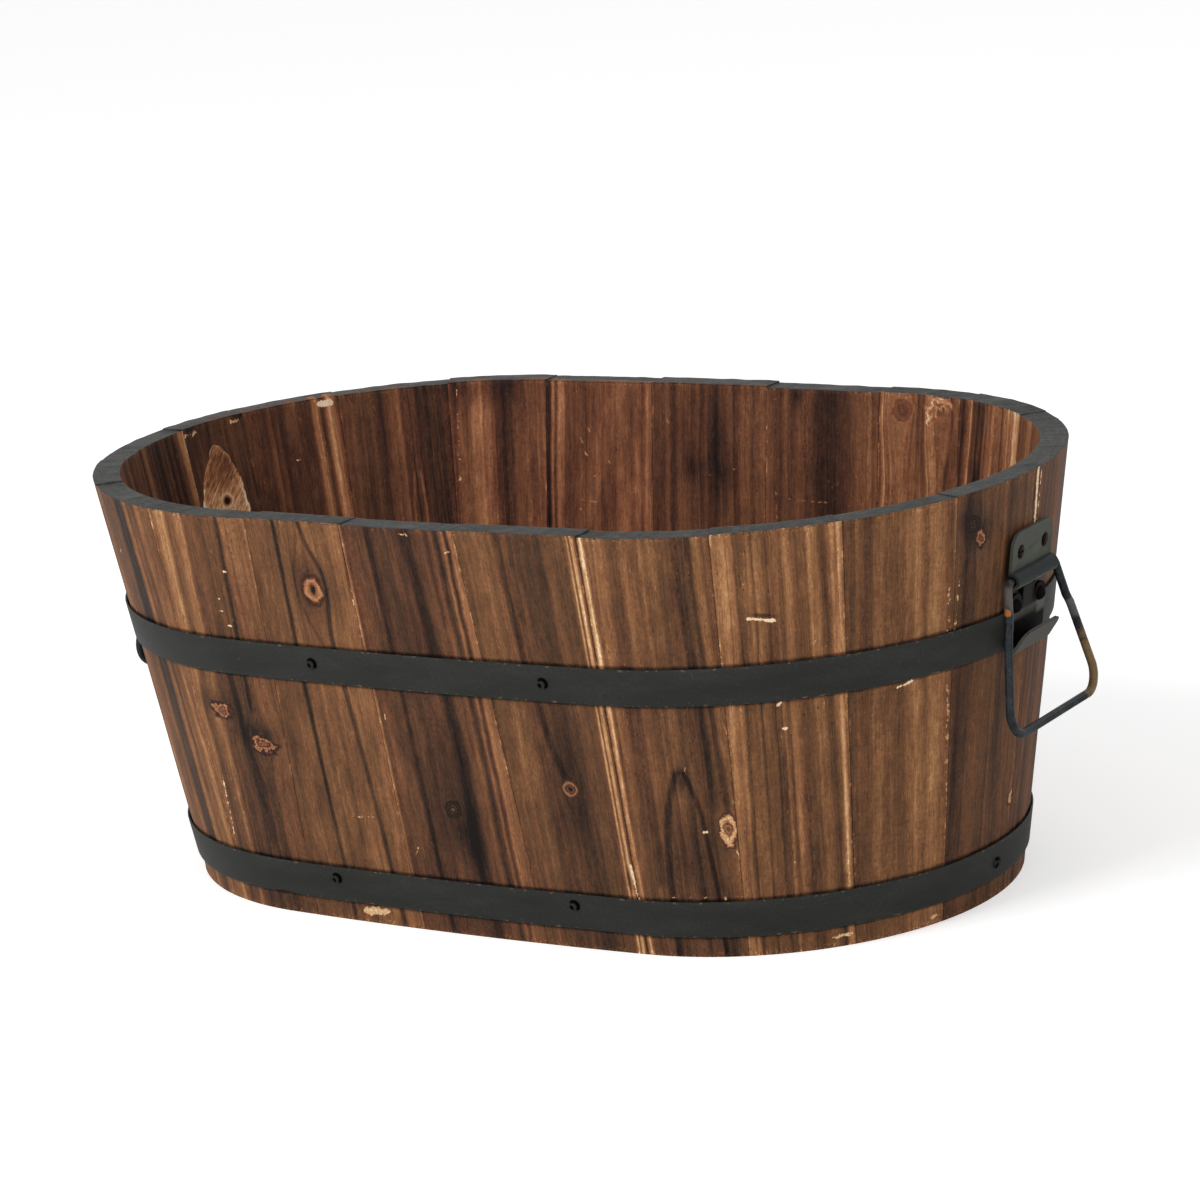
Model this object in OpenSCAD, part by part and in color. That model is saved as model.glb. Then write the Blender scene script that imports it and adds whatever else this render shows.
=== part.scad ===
// Oval wooden barrel planter: tapered staves in two steel hoops, with a wire bail at each end.
// The origin is the middle of the floor under the tub. X runs along the tub and Z is up.

/* [Tub] */
// Length over the rim
rim_length = 560; // [480:10:700]
// Width over the rim
rim_width = 360; // [300:5:400]
// Height from the floor to the rim
height = 230; // [210:5:300]
// How far the wall leans in between the rim and the foot
flare = 37; // [20:1:50]
// How much smaller each end arc is than half the width, which bows the long sides out
side_bow = 3; // [1:0.5:10]
// Thickness of a stave
wall = 15; // [13:1:20]
// Chamfer on the edges of the rim and the foot
edge_ease = 1.2; // [0.5:0.1:2.5]

/* [Staves] */
// Staves around the tub
stave_count = 22; // [18:1:26]
// Hairline between neighbouring staves
stave_gap = 0.1; // [0.05:0.05:0.4]
// Where the first joint lies, along the rim from the middle of the right end
first_joint = 9; // [5:1:12]
// Most that a joint is from its even place, as the staves differ in width
joint_spread = 10; // [0:0.5:12]
// The part of that for each joint
joint_shift = [
  0, 0.2, -0.2, -0.3, -1, -0.4, 0.4, 0.7, 0.5, 0.8, 0.7,
  -1, 0.2, -0.3, 0.6, 0.9, 0.1, 0.2, 0.4, 0.3, 0, -0.3
];
// Most that the foot of a joint wanders along the wall
lean_spread = 10; // [0:0.5:12]
// The part of that for each joint
joint_lean = [
  0, 0.2, -0.2, 0, 0.3, 0, -0.3, 0.2, 0, -0.2, 0,
  0.2, 0, 0.3, -0.2, -1, 0, 1, 0, 0, 0.3, 0.3
];
// Most that a stave stops short of the rim
rim_uneven = 0.9; // [0:0.1:2]
// The part of that for each stave
rim_drop = [
  0, 0.6, 0, 0.4, 1, 0, 0.5, 0, 0.9, 0.3, 0,
  0.5, 0, 0.8, 0.9, 0, 0.6, 0, 1, 0.3, 0.5, 0
];

/* [Base boards] */
// Thickness of the base boards
board_t = 14; // [10:1:18]
// Clear height under the base boards
foot_gap = 18; // [14:1:22]
// Depth of the groove that holds the base boards
croze_depth = 5; // [4:0.5:7]
// Play between a base board and its groove
board_play = 0.4; // [0.2:0.1:0.8]
// Width of the middle board
middle_board_w = 112; // [80:2:130]
// Gap between neighbouring boards
board_gap = 0.6; // [0.3:0.1:2]
// Diameter of a drain hole
drain_d = 12; // [8:1:18]
// Spacing of the drain holes
drain_step = 130; // [80:5:150]

/* [Hoops] */
// Width of the hoop strip
hoop_w = 20; // [16:1:24]
// Thickness of the hoop strip
hoop_t = 1.2; // [0.8:0.1:1.6]
// Gap between a hoop and the staves
hoop_gap = 0.1; // [0.05:0.05:0.3]
// How much further a hoop stands off the flatter long sides
side_slack = 0.1; // [0.05:0.05:0.3]
// Middle of the upper hoop below the rim
upper_hoop_drop = 80.5; // [77:0.5:86]
// Middle height of the lower hoop
lower_hoop_z = 21.5; // [18:0.5:30]
// How far a hoop's ends lap at the back
hoop_lap = 44; // [30:1:60]

/* [Nails] */
// Diameter of a nail head
nail_head_d = 6.5; // [5:0.5:8]
// Height of a nail head
nail_head_h = 1.2; // [0.8:0.1:1.6]
// Diameter of a nail
nail_d = 2.4; // [1.8:0.1:3]
// How deep the upper nails reach into the staves
upper_nail_grip = 11; // [8:0.5:12]
// How deep the lower nails reach into the base boards
lower_nail_grip = 9; // [6:0.5:14]
// Upper nails: stave, place across it, and height above the hoop's middle as a part of its width
upper_nails = [[15, 0.42, 0.06], [17, 0.53, 0.02], [3, 0.5, 0], [8, 0.45, 0.05]];
// Lower nails, in the same way
lower_nails = [
  [15, 0.17, 0.18], [17, 0.45, 0.19], [21, 0.76, -0.05],
  [2, 0.5, 0], [8, 0.5, -0.05], [11, 0.3, 0]
];

/* [Brackets] */
// Thickness of the bracket sheet
sheet_t = 1.6; // [1.2:0.1:2]
// How far the hinge line is below the rim
hinge_drop = 53.2; // [50:0.2:56]
// Width of the upper plate and the channel
plate_w = 45; // [40:1:48]
// Height of the upper plate above the hinge line
plate_rise = 25; // [22:0.5:30]
// Radius of the upper plate's corners
plate_corner = 8; // [3:0.5:11]
// Width of the tongue under the channel
tongue_w = 13; // [9:0.5:15]
// Width of the lower flange
flange_w = 40; // [38:1:42]
// Metal around each lower screw
ear_r = 6.5; // [5.5:0.5:7]
// Inner radius of the bend at the bracket's foot
fold_r = 1.6; // [1.2:0.1:2.5]
// Length of the lip that stands out of the foot
lip_length = 13; // [9:0.5:15]
// How far the lip leans away from the wall
lip_angle = 27; // [15:1:40]
// Radius of the lip's corners
lip_corner = 6; // [2:0.5:8]
// Spacing of each pair of screws
screw_step = 27; // [25:0.5:28]
// Diameter of a screw's shank
screw_d = 4; // [3:0.1:4.5]
// Length of a screw under its head
screw_length = 14; // [10:0.5:15]
// Height of the upper screws above the hinge line
upper_screw_rise = 14; // [11:0.5:16]
// Head of an upper screw, which is sunk
sunk_head_d = 6.6; // [5.5:0.1:7.5]
// Head of a lower screw, which is domed
round_head_d = 7.6; // [6:0.1:8.4]
// Height of a domed head
round_head_h = 2.8; // [2:0.1:3.2]
// Width of the slot in a head
slot_w = 1; // [0.8:0.1:1.4]
// Depth of the slot in a head
slot_depth = 0.9; // [0.5:0.1:1.1]
// Clearance between a screw or nail and its hole
shank_play = 0.1; // [0.05:0.05:0.3]

/* [Bails] */
// Diameter of the bail's wire
wire_d = 4.5; // [3.5:0.1:5]
// Gap between the wire and the wood behind it
wood_gap = 1.1; // [0.8:0.1:2]
// Play between the wire and the channel
pin_play = 0.7; // [0.3:0.05:1]
// Half the gap between the two turned-in ends of the wire
pin_end = 9; // [6:0.5:12]
// Gap between the channel's end and the leg beside it
leg_gap = 1.85; // [1:0.05:3]
// How far the lower corners spread past the tops of the legs
leg_spread = 25.3; // [15:0.1:30]
// Drop from the hinge line to the middle of the bottom bar
bail_drop = 74.6; // [65:0.2:80]
// Bend radius at the tops of the legs
top_bend = 4; // [3:0.5:5]
// Bend radius at the lower corners
corner_bend = 11; // [6:0.5:16]
// Drop from the hinge line to the crank in each leg
crank_drop = 20; // [16:1:28]
// How much the wire swells where it is bent
bend_swell = 0.05; // [0.03:0.01:0.1]
// Height of the crank
crank_rise = 5; // [4:0.5:8]
// How far the crank steps out of the leg's line
crank_step = 0.9; // [0.2:0.1:2]
// How far the right bail hangs away from plumb
right_hang = 7.2; // [0:0.2:10]
// How far the left bail hangs away from plumb
left_hang = 0; // [0:0.2:10]

/* [Hidden] */
$fn = 96;
stave_names = [for (i = [1:stave_count]) str("stave_", i < 10 ? "0" : "", i)];

// The rim's outline is four arcs that meet on a tangent, and the wall is a cone on each of them.
half_l = rim_length / 2;
half_w = rim_width / 2;
end_r = half_w - side_bow;
end_x = half_l - end_r;
side_y = (end_x * end_x - side_bow * side_bow) / (2 * side_bow);
side_r = half_w + side_y;
turn = atan2(side_y, end_x);
side_turn = 180 - 2 * turn;
slant = atan(flare / height);

// Each arc: centre x, centre y, radius at the rim, start angle and sweep
arcs = [
  [end_x, 0, end_r, -turn, 2 * turn],
  [0, -side_y, side_r, turn, side_turn],
  [-end_x, 0, end_r, 180 - turn, 2 * turn],
  [0, side_y, side_r, 180 + turn, side_turn]
];
// The side arcs are a hair thicker than the end arcs, so that the two cones meet in a clean edge
side_proud = 0.03;
// How far the side arcs run into the end arcs
side_overlap = 0.4;
ends_fn = 240;
sides_fn = 720;
quarter = end_r * turn * PI / 180;
side_len = side_r * side_turn * PI / 180;
rim_run = 4 * quarter + 2 * side_len;
arc_start = [-quarter, quarter, quarter + side_len, 3 * quarter + side_len];

stave_step = rim_run / stave_count;
upper_hoop_z = height - upper_hoop_drop;
croze_top = foot_gap + board_t + board_play;
stand = 2 * hoop_gap + hoop_t;
plate_face = stand + sheet_t;
wire_r = wire_d / 2;
hinge_out = wire_r + wood_gap;
channel_in = wire_r + pin_play;
channel_out = channel_in + sheet_t;
hinge_wall_z = height - hinge_drop;
low_screw_v = (upper_hoop_z + hoop_w / 2 - hinge_wall_z) / cos(slant) + screw_d / 2 + 0.6;
foot_v = (upper_hoop_z - hoop_w / 2 - hinge_wall_z) / cos(slant) - 2;
fold_v = foot_v + fold_r + sheet_t;
lip_top_v = fold_v - fold_r * sin(lip_angle) + lip_length * cos(lip_angle);
leg_top = plate_w / 2 + leg_gap + wire_r;
back_middle = quarter + side_len / 2;
wood_tones = ["#a9713f", "#9a6234", "#b07a48", "#93592e", "#a56b3a", "#8b5730", "#b58150"];

function picked(list, i) = list[i % len(list)];
function shrink(z) = flare * (1 - z / height);
function end_at(z) = half_l - shrink(z);
function wrapped(s) = s < -quarter ? s + rim_run : s >= rim_run - quarter ? s - rim_run : s;
function arc_at(s, k = 3) = k == 0 || s >= arc_start[k] ? k : arc_at(s, k - 1);
function arc_run(k) = arcs[k][2] * arcs[k][4] * PI / 180;

// Angle of the outward normal at a length along the rim, from the middle of the right end
function normal_at(s) =
  let (w = wrapped(s), k = arc_at(w))
  arcs[k][3] + (w - arc_start[k]) / arcs[k][2] * 180 / PI;

// Point on the outside of the wall below that place on the rim
function wall_point(s, z) =
  let (k = arc_at(wrapped(s)), n = normal_at(s), r = arcs[k][2] - shrink(z))
  [arcs[k][0] + r * cos(n), arcs[k][1] + r * sin(n), z];

// Joints between staves, as lengths along the rim
function joint_s(i) =
  first_joint + i * stave_step
  + joint_spread * picked(joint_shift, i % stave_count);
function overlaps(a, b, c, d) = a < d && c < b;
function touches(i, c, d) =
  let (a = joint_s(i) - lean_spread, b = joint_s(i + 1) + lean_spread)
  overlaps(a, b, c, d) || overlaps(a - rim_run, b - rim_run, c, d);
function on_arc(i, k) = touches(i, arc_start[k], arc_start[k] + arc_run(k));
function near_end(i, s) = touches(i, s - plate_w / 2, s + plate_w / 2);

// Nails on a stave keep their place across it, and two more hold the lap at the back
function nail_list(list, middle) = concat(
  [for (n = list) [
    joint_s(n[0] % stave_count) * (1 - n[1]) + joint_s(n[0] % stave_count + 1) * n[1],
    middle + n[2] * hoop_w
  ]],
  [for (side = [-1, 1]) [back_middle + side * hoop_lap / 4, middle]]
);
high_nails = nail_list(upper_nails, upper_hoop_z);
low_nails = nail_list(lower_nails, lower_hoop_z);
lap_nails = 2;
function lapped(list, j) = j >= len(list) - lap_nails;
function proud_on(k) = k % 2 == 1 ? side_proud : 0;
function slack_on(k) = k % 2 == 1 ? side_slack + side_proud : 0;

// How far off the wall the hoop's face lies under the head of nail j
function under_head(list, j) = cos(slant) * (
  hoop_gap + slack_on(arc_at(wrapped(list[j][0]))) + (lapped(list, j) ? 2 : 1) * hoop_t
);

// Puts a piece on the wall with its Z along the outward normal
module on_wall(s, z) {
  translate(wall_point(s, z))
    rotate([0, 90 + slant, normal_at(s)])
      children();
}

// Puts a piece on the right end wall at the hinge line: X across, Y up the wall, Z out
module on_end() {
  translate([end_at(hinge_wall_z), 0, hinge_wall_z])
    rotate([0, slant, 0])
      rotate([90, 0, 90])
        children();
}

module at_side(side) {
  rotate([0, 0, side == "left" ? 180 : 0])
    children();
}

// Section of the wall on an arc of radius r, with the groove for the base boards
module wall_section(r, drop, proud) {
  out = r + proud;
  in = r - wall - proud;
  top = height - drop;
  groove_r = in - shrink(foot_gap) + croze_depth;
  polygon([
    [out - flare - edge_ease, 0],
    [out - shrink(edge_ease), edge_ease],
    [out - shrink(top - edge_ease), top - edge_ease],
    [out - shrink(top) - edge_ease, top],
    [in - shrink(top) + edge_ease, top],
    [in - shrink(top - edge_ease), top - edge_ease],
    [in - shrink(croze_top), croze_top],
    [groove_r, croze_top],
    [groove_r, foot_gap],
    [in - shrink(foot_gap), foot_gap],
    [in - shrink(edge_ease), edge_ease],
    [in - flare + edge_ease, 0]
  ]);
}

// Sweeps a section along arc k, and a length past both of its ends
module arc_sweep(k, beyond = 0) {
  past = beyond / arcs[k][2] * 180 / PI;
  translate([arcs[k][0], arcs[k][1], 0])
    rotate([0, 0, arcs[k][3] - past])
      rotate_extrude(angle = arcs[k][4] + 2 * past, $fn = k % 2 == 0 ? ends_fn : sides_fn)
        children();
}

// Everything on one side of a joint, for about one and a half staves
module beside_joint(i, way) {
  reach_in = flare + wall + stave_step / 2;
  reach_out = stave_step / 5;
  span = 1.7 * stave_step;
  lean = atan(lean_spread * picked(joint_lean, i % stave_count) / height);
  translate(wall_point(joint_s(i), height))
    rotate([lean, 0, normal_at(joint_s(i))])
      translate([-reach_in, way > 0 ? stave_gap / 2 : -span, -1.5 * height])
        cube([reach_in + reach_out, span - stave_gap / 2, 2 * height]);
}

module stave(i) {
  color(picked(wood_tones, i))
    difference() {
      intersection() {
        union() {
          for (k = [0:3])
            if (on_arc(i, k))
              arc_sweep(k, k % 2 == 1 ? side_overlap : 0)
                wall_section(arcs[k][2], rim_uneven * picked(rim_drop, i), proud_on(k));
        }
        beside_joint(i, 1);
        beside_joint(i + 1, -1);
      }
      nail_holes(high_nails, i);
      nail_holes(low_nails, i);
      if (near_end(i, 0))
        screw_holes("right");
      if (near_end(i, rim_run / 2))
        screw_holes("left");
    }
}

// Holes for the nails that go through stave i
module nail_holes(list, i) {
  for (n = list)
    if (overlaps(n[0] - nail_d, n[0] + nail_d, joint_s(i), joint_s(i + 1)))
      nail_bore(n, list == low_nails ? wall + lower_nail_grip : upper_nail_grip);
}

// A hole from outside the hoop to a nail's point
module nail_bore(n, depth) {
  spare = nail_d / 2;
  past = hoop_gap + side_slack + 2 * hoop_t + spare;
  on_wall(n[0], n[1])
    translate([0, 0, -depth - spare])
      cylinder(d = nail_d + 2 * shank_play, h = depth + spare + past);
}

module screw_holes(side) {
  at_side(side)
    on_end()
      for (x = [-1, 1])
        for (v = [upper_screw_rise, low_screw_v])
          translate([x * screw_step / 2, v, plate_face - screw_length - 1])
            cylinder(d = screw_d + 2 * shank_play, h = screw_length);
}

// Outline of the tub, grown or shrunk evenly from the rim
module oval(grow) {
  for (x = [-end_x, end_x])
    translate([x, 0])
      circle(end_r + grow, $fn = ends_fn);
  intersection() {
    translate([0, -side_y])
      circle(side_r + grow, $fn = sides_fn);
    translate([0, side_y])
      circle(side_r + grow, $fn = sides_fn);
    square([2 * (end_x + (end_r + grow) * cos(turn)), rim_width], center = true);
  }
}

// One base board, cut from the oval floor between two lines
module base_board(from_y, to_y, drains) {
  seat = croze_depth - board_play - wall - shrink(foot_gap);
  color("#8a5f3a")
    difference() {
      translate([0, 0, foot_gap])
        linear_extrude(board_t)
          intersection() {
            oval(seat);
            translate([-half_l, from_y])
              square([rim_length, to_y - from_y]);
          }
      for (n = low_nails)
        nail_bore(n, wall + lower_nail_grip);
      if (drains)
        for (x = [-1:1])
          translate([x * drain_step, 0, foot_gap - 1])
            cylinder(d = drain_d, h = board_t + 2);
    }
}

// Section of a hoop on an arc of radius r, in the layer that starts at out
module hoop_section(r, middle, out) {
  low = middle - hoop_w / 2;
  high = middle + hoop_w / 2;
  polygon([
    [r - shrink(low) + out, low],
    [r - shrink(low) + out + hoop_t, low],
    [r - shrink(high) + out + hoop_t, high],
    [r - shrink(high) + out, high]
  ]);
}

// A closed hoop, with the lap of its ends as a second layer in the middle of the back
module hoop(middle, nails) {
  lap_turn = hoop_lap / side_r * 180 / PI;
  color("#3c3e3a")
    difference() {
      union() {
        for (k = [0:3])
          arc_sweep(k)
            hoop_section(arcs[k][2], middle, hoop_gap + slack_on(k));
        translate([arcs[1][0], arcs[1][1], 0])
          rotate([0, 0, 90 - lap_turn / 2])
            rotate_extrude(angle = lap_turn, $fn = sides_fn)
              hoop_section(side_r, middle, hoop_gap + slack_on(1) + hoop_t);
      }
      for (n = nails)
        nail_bore(n, 3);
    }
}

// A domed cap of a given width and height, flat side down
module dome(d, h) {
  ball_r = (d * d / 4 + h * h) / (2 * h);
  intersection() {
    translate([0, 0, h - ball_r])
      sphere(ball_r);
    cylinder(d = d + 1, h = h + 1);
  }
}

module hoop_nails(list, depth) {
  color("#2b2c2b")
    for (j = [0:len(list) - 1]) {
      under = under_head(list, j);
      on_wall(list[j][0], list[j][1]) {
        translate([0, 0, under])
          dome(nail_head_d, nail_head_h);
        translate([0, 0, -depth])
          cylinder(d = nail_d, h = depth + under + nail_head_h / 2);
      }
    }
}

// Side view of the bracket's channel: a half round over the wire, and the shelves behind it
module channel_section() {
  intersection() {
    difference() {
      union() {
        translate([hinge_out, 0])
          circle(channel_out);
        translate([stand, -channel_out])
          square([hinge_out - stand, 2 * channel_out]);
      }
      translate([hinge_out, 0])
        circle(channel_in);
      translate([stand - 1, -channel_in])
        square([hinge_out - stand + 1, 2 * channel_in]);
    }
    translate([stand, -2 * channel_out])
      square(4 * channel_out);
  }
}

// Side view of the lip: a tight fold at the foot and a flat flap that leans out
module lip_section() {
  turned = [cos(lip_angle), -sin(lip_angle)];
  up = [sin(lip_angle), cos(lip_angle)];
  overlap = 3;
  translate([plate_face + fold_r, fold_v])
    difference() {
      union() {
        circle(fold_r + sheet_t);
        translate([-fold_r - sheet_t, 0])
          square([sheet_t, overlap]);
        rotate(-lip_angle)
          square([fold_r + sheet_t, lip_length]);
      }
      circle(fold_r);
      polygon([
        [0, 0],
        [-fold_r, 0],
        [-fold_r, 2 * lip_length],
        fold_r * turned + 2 * lip_length * up,
        fold_r * turned
      ]);
    }
}

// Sweeps a side view across the bracket
module across(width) {
  rotate([0, -90, 0])
    linear_extrude(width, center = true)
      children();
}

// A square-footed outline from low to high with two round upper corners
module round_topped(width, low, high, corner) {
  translate([-width / 2, low])
    square([width, high - corner - low]);
  translate([corner - width / 2, low])
    square([width - 2 * corner, high - low]);
  for (x = [-1, 1])
    translate([x * (width / 2 - corner), high - corner])
      circle(corner);
}

// The lower flange with an ear around each screw, hung on the tongue
module flange_outline() {
  translate([-tongue_w / 2, fold_v])
    square([tongue_w, -channel_in - fold_v]);
  translate([-flange_w / 2, fold_v])
    square([flange_w, low_screw_v - fold_v]);
  for (x = [-1, 1])
    translate([x * screw_step / 2, low_screw_v])
      circle(ear_r);
}

module bracket(side) {
  lip_depth = 2 * lip_length;
  color("#434542")
    at_side(side)
      on_end()
        difference() {
          union() {
            translate([0, 0, stand])
              linear_extrude(sheet_t)
                round_topped(plate_w, channel_in, plate_rise, plate_corner);
            difference() {
              across(plate_w)
                channel_section();
              for (x = [-1, 1])
                translate([x * (plate_w + tongue_w) / 2, -plate_w / 2, hinge_out / 2])
                  cube([plate_w, plate_w, hinge_out], center = true);
            }
            translate([0, 0, stand])
              linear_extrude(sheet_t)
                flange_outline();
            intersection() {
              across(flange_w)
                lip_section();
              translate([0, 0, stand])
                linear_extrude(lip_depth)
                  round_topped(flange_w, foot_v - 1, lip_top_v, lip_corner);
            }
          }
          for (x = [-1, 1]) {
            translate([x * screw_step / 2, upper_screw_rise, stand - 1])
              cylinder(d = screw_d + 2 * shank_play, h = sheet_t + 2);
            translate([x * screw_step / 2, upper_screw_rise, stand])
              sunk_cone(shank_play, sheet_t + 0.01);
            translate([x * screw_step / 2, low_screw_v, stand - 1])
              cylinder(d = screw_d + 2 * shank_play, h = sheet_t + 2);
          }
        }
}

// The cone of a sunk head, with a given clearance around it
module sunk_cone(play, h) {
  cylinder(d1 = screw_d + 2 * play, d2 = sunk_head_d + 2 * play, h = h);
}

module head_slot(turned, top) {
  rotate([0, 0, turned])
    translate([-round_head_d, -slot_w / 2, top - slot_depth])
      cube([2 * round_head_d, slot_w, 2 * slot_depth]);
}

module bracket_screws(side) {
  slot_turns = [20, 75];
  color("#262726")
    at_side(side)
      on_end()
        for (x = [-1, 1]) {
          translate([x * screw_step / 2, upper_screw_rise, stand])
            difference() {
              union() {
                translate([0, 0, sheet_t - screw_length])
                  cylinder(d = screw_d, h = screw_length);
                sunk_cone(0, sheet_t);
              }
              head_slot(slot_turns[0] + 30 * x, sheet_t);
            }
          translate([x * screw_step / 2, low_screw_v, plate_face])
            difference() {
              union() {
                translate([0, 0, -screw_length])
                  cylinder(d = screw_d, h = screw_length + round_head_h / 2);
                dome(round_head_d, round_head_h);
              }
              head_slot(slot_turns[1] - 25 * x, round_head_h);
            }
        }
}

// Corners of the bail's wire, as place across and drop below the hinge line
leg_lean = leg_spread / bail_drop;
half_bail = [
  [pin_end, 0],
  [leg_top, 0],
  [leg_top + leg_lean * crank_drop - crank_step, crank_drop],
  [leg_top + leg_lean * (crank_drop + crank_rise) + crank_step / 2, crank_drop + crank_rise],
  [leg_top + leg_spread, bail_drop]
];
half_bends = [0, top_bend, 6, 6, corner_bend];
last = len(half_bail) - 1;
bail_points = concat(half_bail, [for (i = [last:-1:0]) [-half_bail[i][0], half_bail[i][1]]]);
bail_bends = concat(half_bends, [for (i = [last:-1:0]) half_bends[i]]);

function unit(v) = v / norm(v);
function heading(p, i) = unit(p[i + 1] - p[i]);
function bend_angle(p, i) =
  let (a = heading(p, i - 1), b = heading(p, i))
  atan2(a[0] * b[1] - a[1] * b[0], a * b);
function trim(p, bends, i) =
  i == 0 || i == len(p) - 1 ? 0 : bends[i] * tan(abs(bend_angle(p, i)) / 2);

// Round wire along flat corners. A straight run reaches a little into the bend at each end.
module wire(p, bends) {
  reach = 0.3;
  for (i = [0:len(p) - 2]) {
    way = heading(p, i);
    back = i == 0 ? 0 : reach;
    ahead = i == len(p) - 2 ? 0 : reach;
    start = p[i] + way * (trim(p, bends, i) - back);
    run = norm(p[i + 1] - p[i]) - trim(p, bends, i) - trim(p, bends, i + 1) + back + ahead;
    translate([start[0], start[1], 0])
      rotate([0, 90, atan2(way[1], way[0])])
        cylinder(r = wire_r, h = run, $fn = 48);
  }
  for (i = [1:len(p) - 2]) {
    way = heading(p, i - 1);
    angle = bend_angle(p, i);
    hand = sign(angle);
    start = p[i] - way * trim(p, bends, i);
    centre = start + hand * bends[i] * [-way[1], way[0]];
    translate([centre[0], centre[1], 0])
      rotate([0, 0, atan2(start[1] - centre[1], start[0] - centre[0]) + min(angle, 0)])
        rotate_extrude(angle = abs(angle), $fn = 120)
          translate([bends[i], 0])
            circle(wire_r + bend_swell, $fn = 48);
  }
}

module bail(side) {
  color("#39424e")
    at_side(side)
      translate([
        end_at(hinge_wall_z) + hinge_out * cos(slant),
        0,
        hinge_wall_z - hinge_out * sin(slant)
      ])
        rotate([0, side == "left" ? -left_hang : -right_hang, 0])
          rotate([-90, 0, 90])
            wire(bail_points, bail_bends);
}

for (i = [0:stave_count - 1])
  stave(i);
base_board(-half_w, -(middle_board_w + board_gap) / 2, false);  // base_board_front
base_board((board_gap - middle_board_w) / 2, (middle_board_w - board_gap) / 2, true);  // base_board_middle
base_board((middle_board_w + board_gap) / 2, half_w, false);  // base_board_rear
hoop(upper_hoop_z, high_nails);  // upper_hoop
hoop(lower_hoop_z, low_nails);  // lower_hoop
hoop_nails(high_nails, upper_nail_grip);  // upper_hoop_nails
hoop_nails(low_nails, wall + lower_nail_grip);  // lower_hoop_nails
bracket("right");  // right_bracket
bracket("left");  // left_bracket
bracket_screws("right");  // right_bracket_screws
bracket_screws("left");  // left_bracket_screws
bail("right");  // right_bail
bail("left");  // left_bail
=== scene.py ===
import math

import bmesh
import bpy
from mathutils import Matrix, Vector, noise


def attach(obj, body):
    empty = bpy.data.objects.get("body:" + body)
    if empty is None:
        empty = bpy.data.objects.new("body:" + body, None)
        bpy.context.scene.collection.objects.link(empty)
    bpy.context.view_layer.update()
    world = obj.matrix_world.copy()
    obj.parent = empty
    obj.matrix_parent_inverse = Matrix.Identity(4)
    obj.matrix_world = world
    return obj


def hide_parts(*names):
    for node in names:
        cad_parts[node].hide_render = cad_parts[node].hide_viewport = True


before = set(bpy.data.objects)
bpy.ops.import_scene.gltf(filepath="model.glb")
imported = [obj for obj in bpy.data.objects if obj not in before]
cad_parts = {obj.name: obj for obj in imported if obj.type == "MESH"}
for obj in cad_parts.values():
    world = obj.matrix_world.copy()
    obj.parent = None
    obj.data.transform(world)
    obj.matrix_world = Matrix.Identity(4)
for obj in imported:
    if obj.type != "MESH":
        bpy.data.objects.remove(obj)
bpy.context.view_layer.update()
print("frame loaded with", len(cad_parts), "nodes")

mm = 0.001
closeBy = 0.001 * mm    # points nearer than this count as one


# Shader helpers: a socket that takes part in sums, and one method for any node

def bothSides(operation):  # an operator with a socket on its left, and with one on its right
    def left(self, other):
        return self.paint.maths(operation, self, other)

    def right(self, other):
        return self.paint.maths(operation, other, self)

    return left, right


class Wire:  # a shader socket, so that node maths can be written as sums
    def __init__(self, paint, socket):
        self.paint = paint
        self.socket = socket

    __add__, __radd__ = bothSides("ADD")
    __sub__, __rsub__ = bothSides("SUBTRACT")
    __mul__, __rmul__ = bothSides("MULTIPLY")
    __truediv__, __rtruediv__ = bothSides("DIVIDE")

    def __pow__(self, power):
        return self.paint.maths("POWER", self, power)

    def __neg__(self):
        return self.paint.maths("MULTIPLY", self, -1)

    def __abs__(self):
        return self.paint.maths("ABSOLUTE", self)


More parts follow.
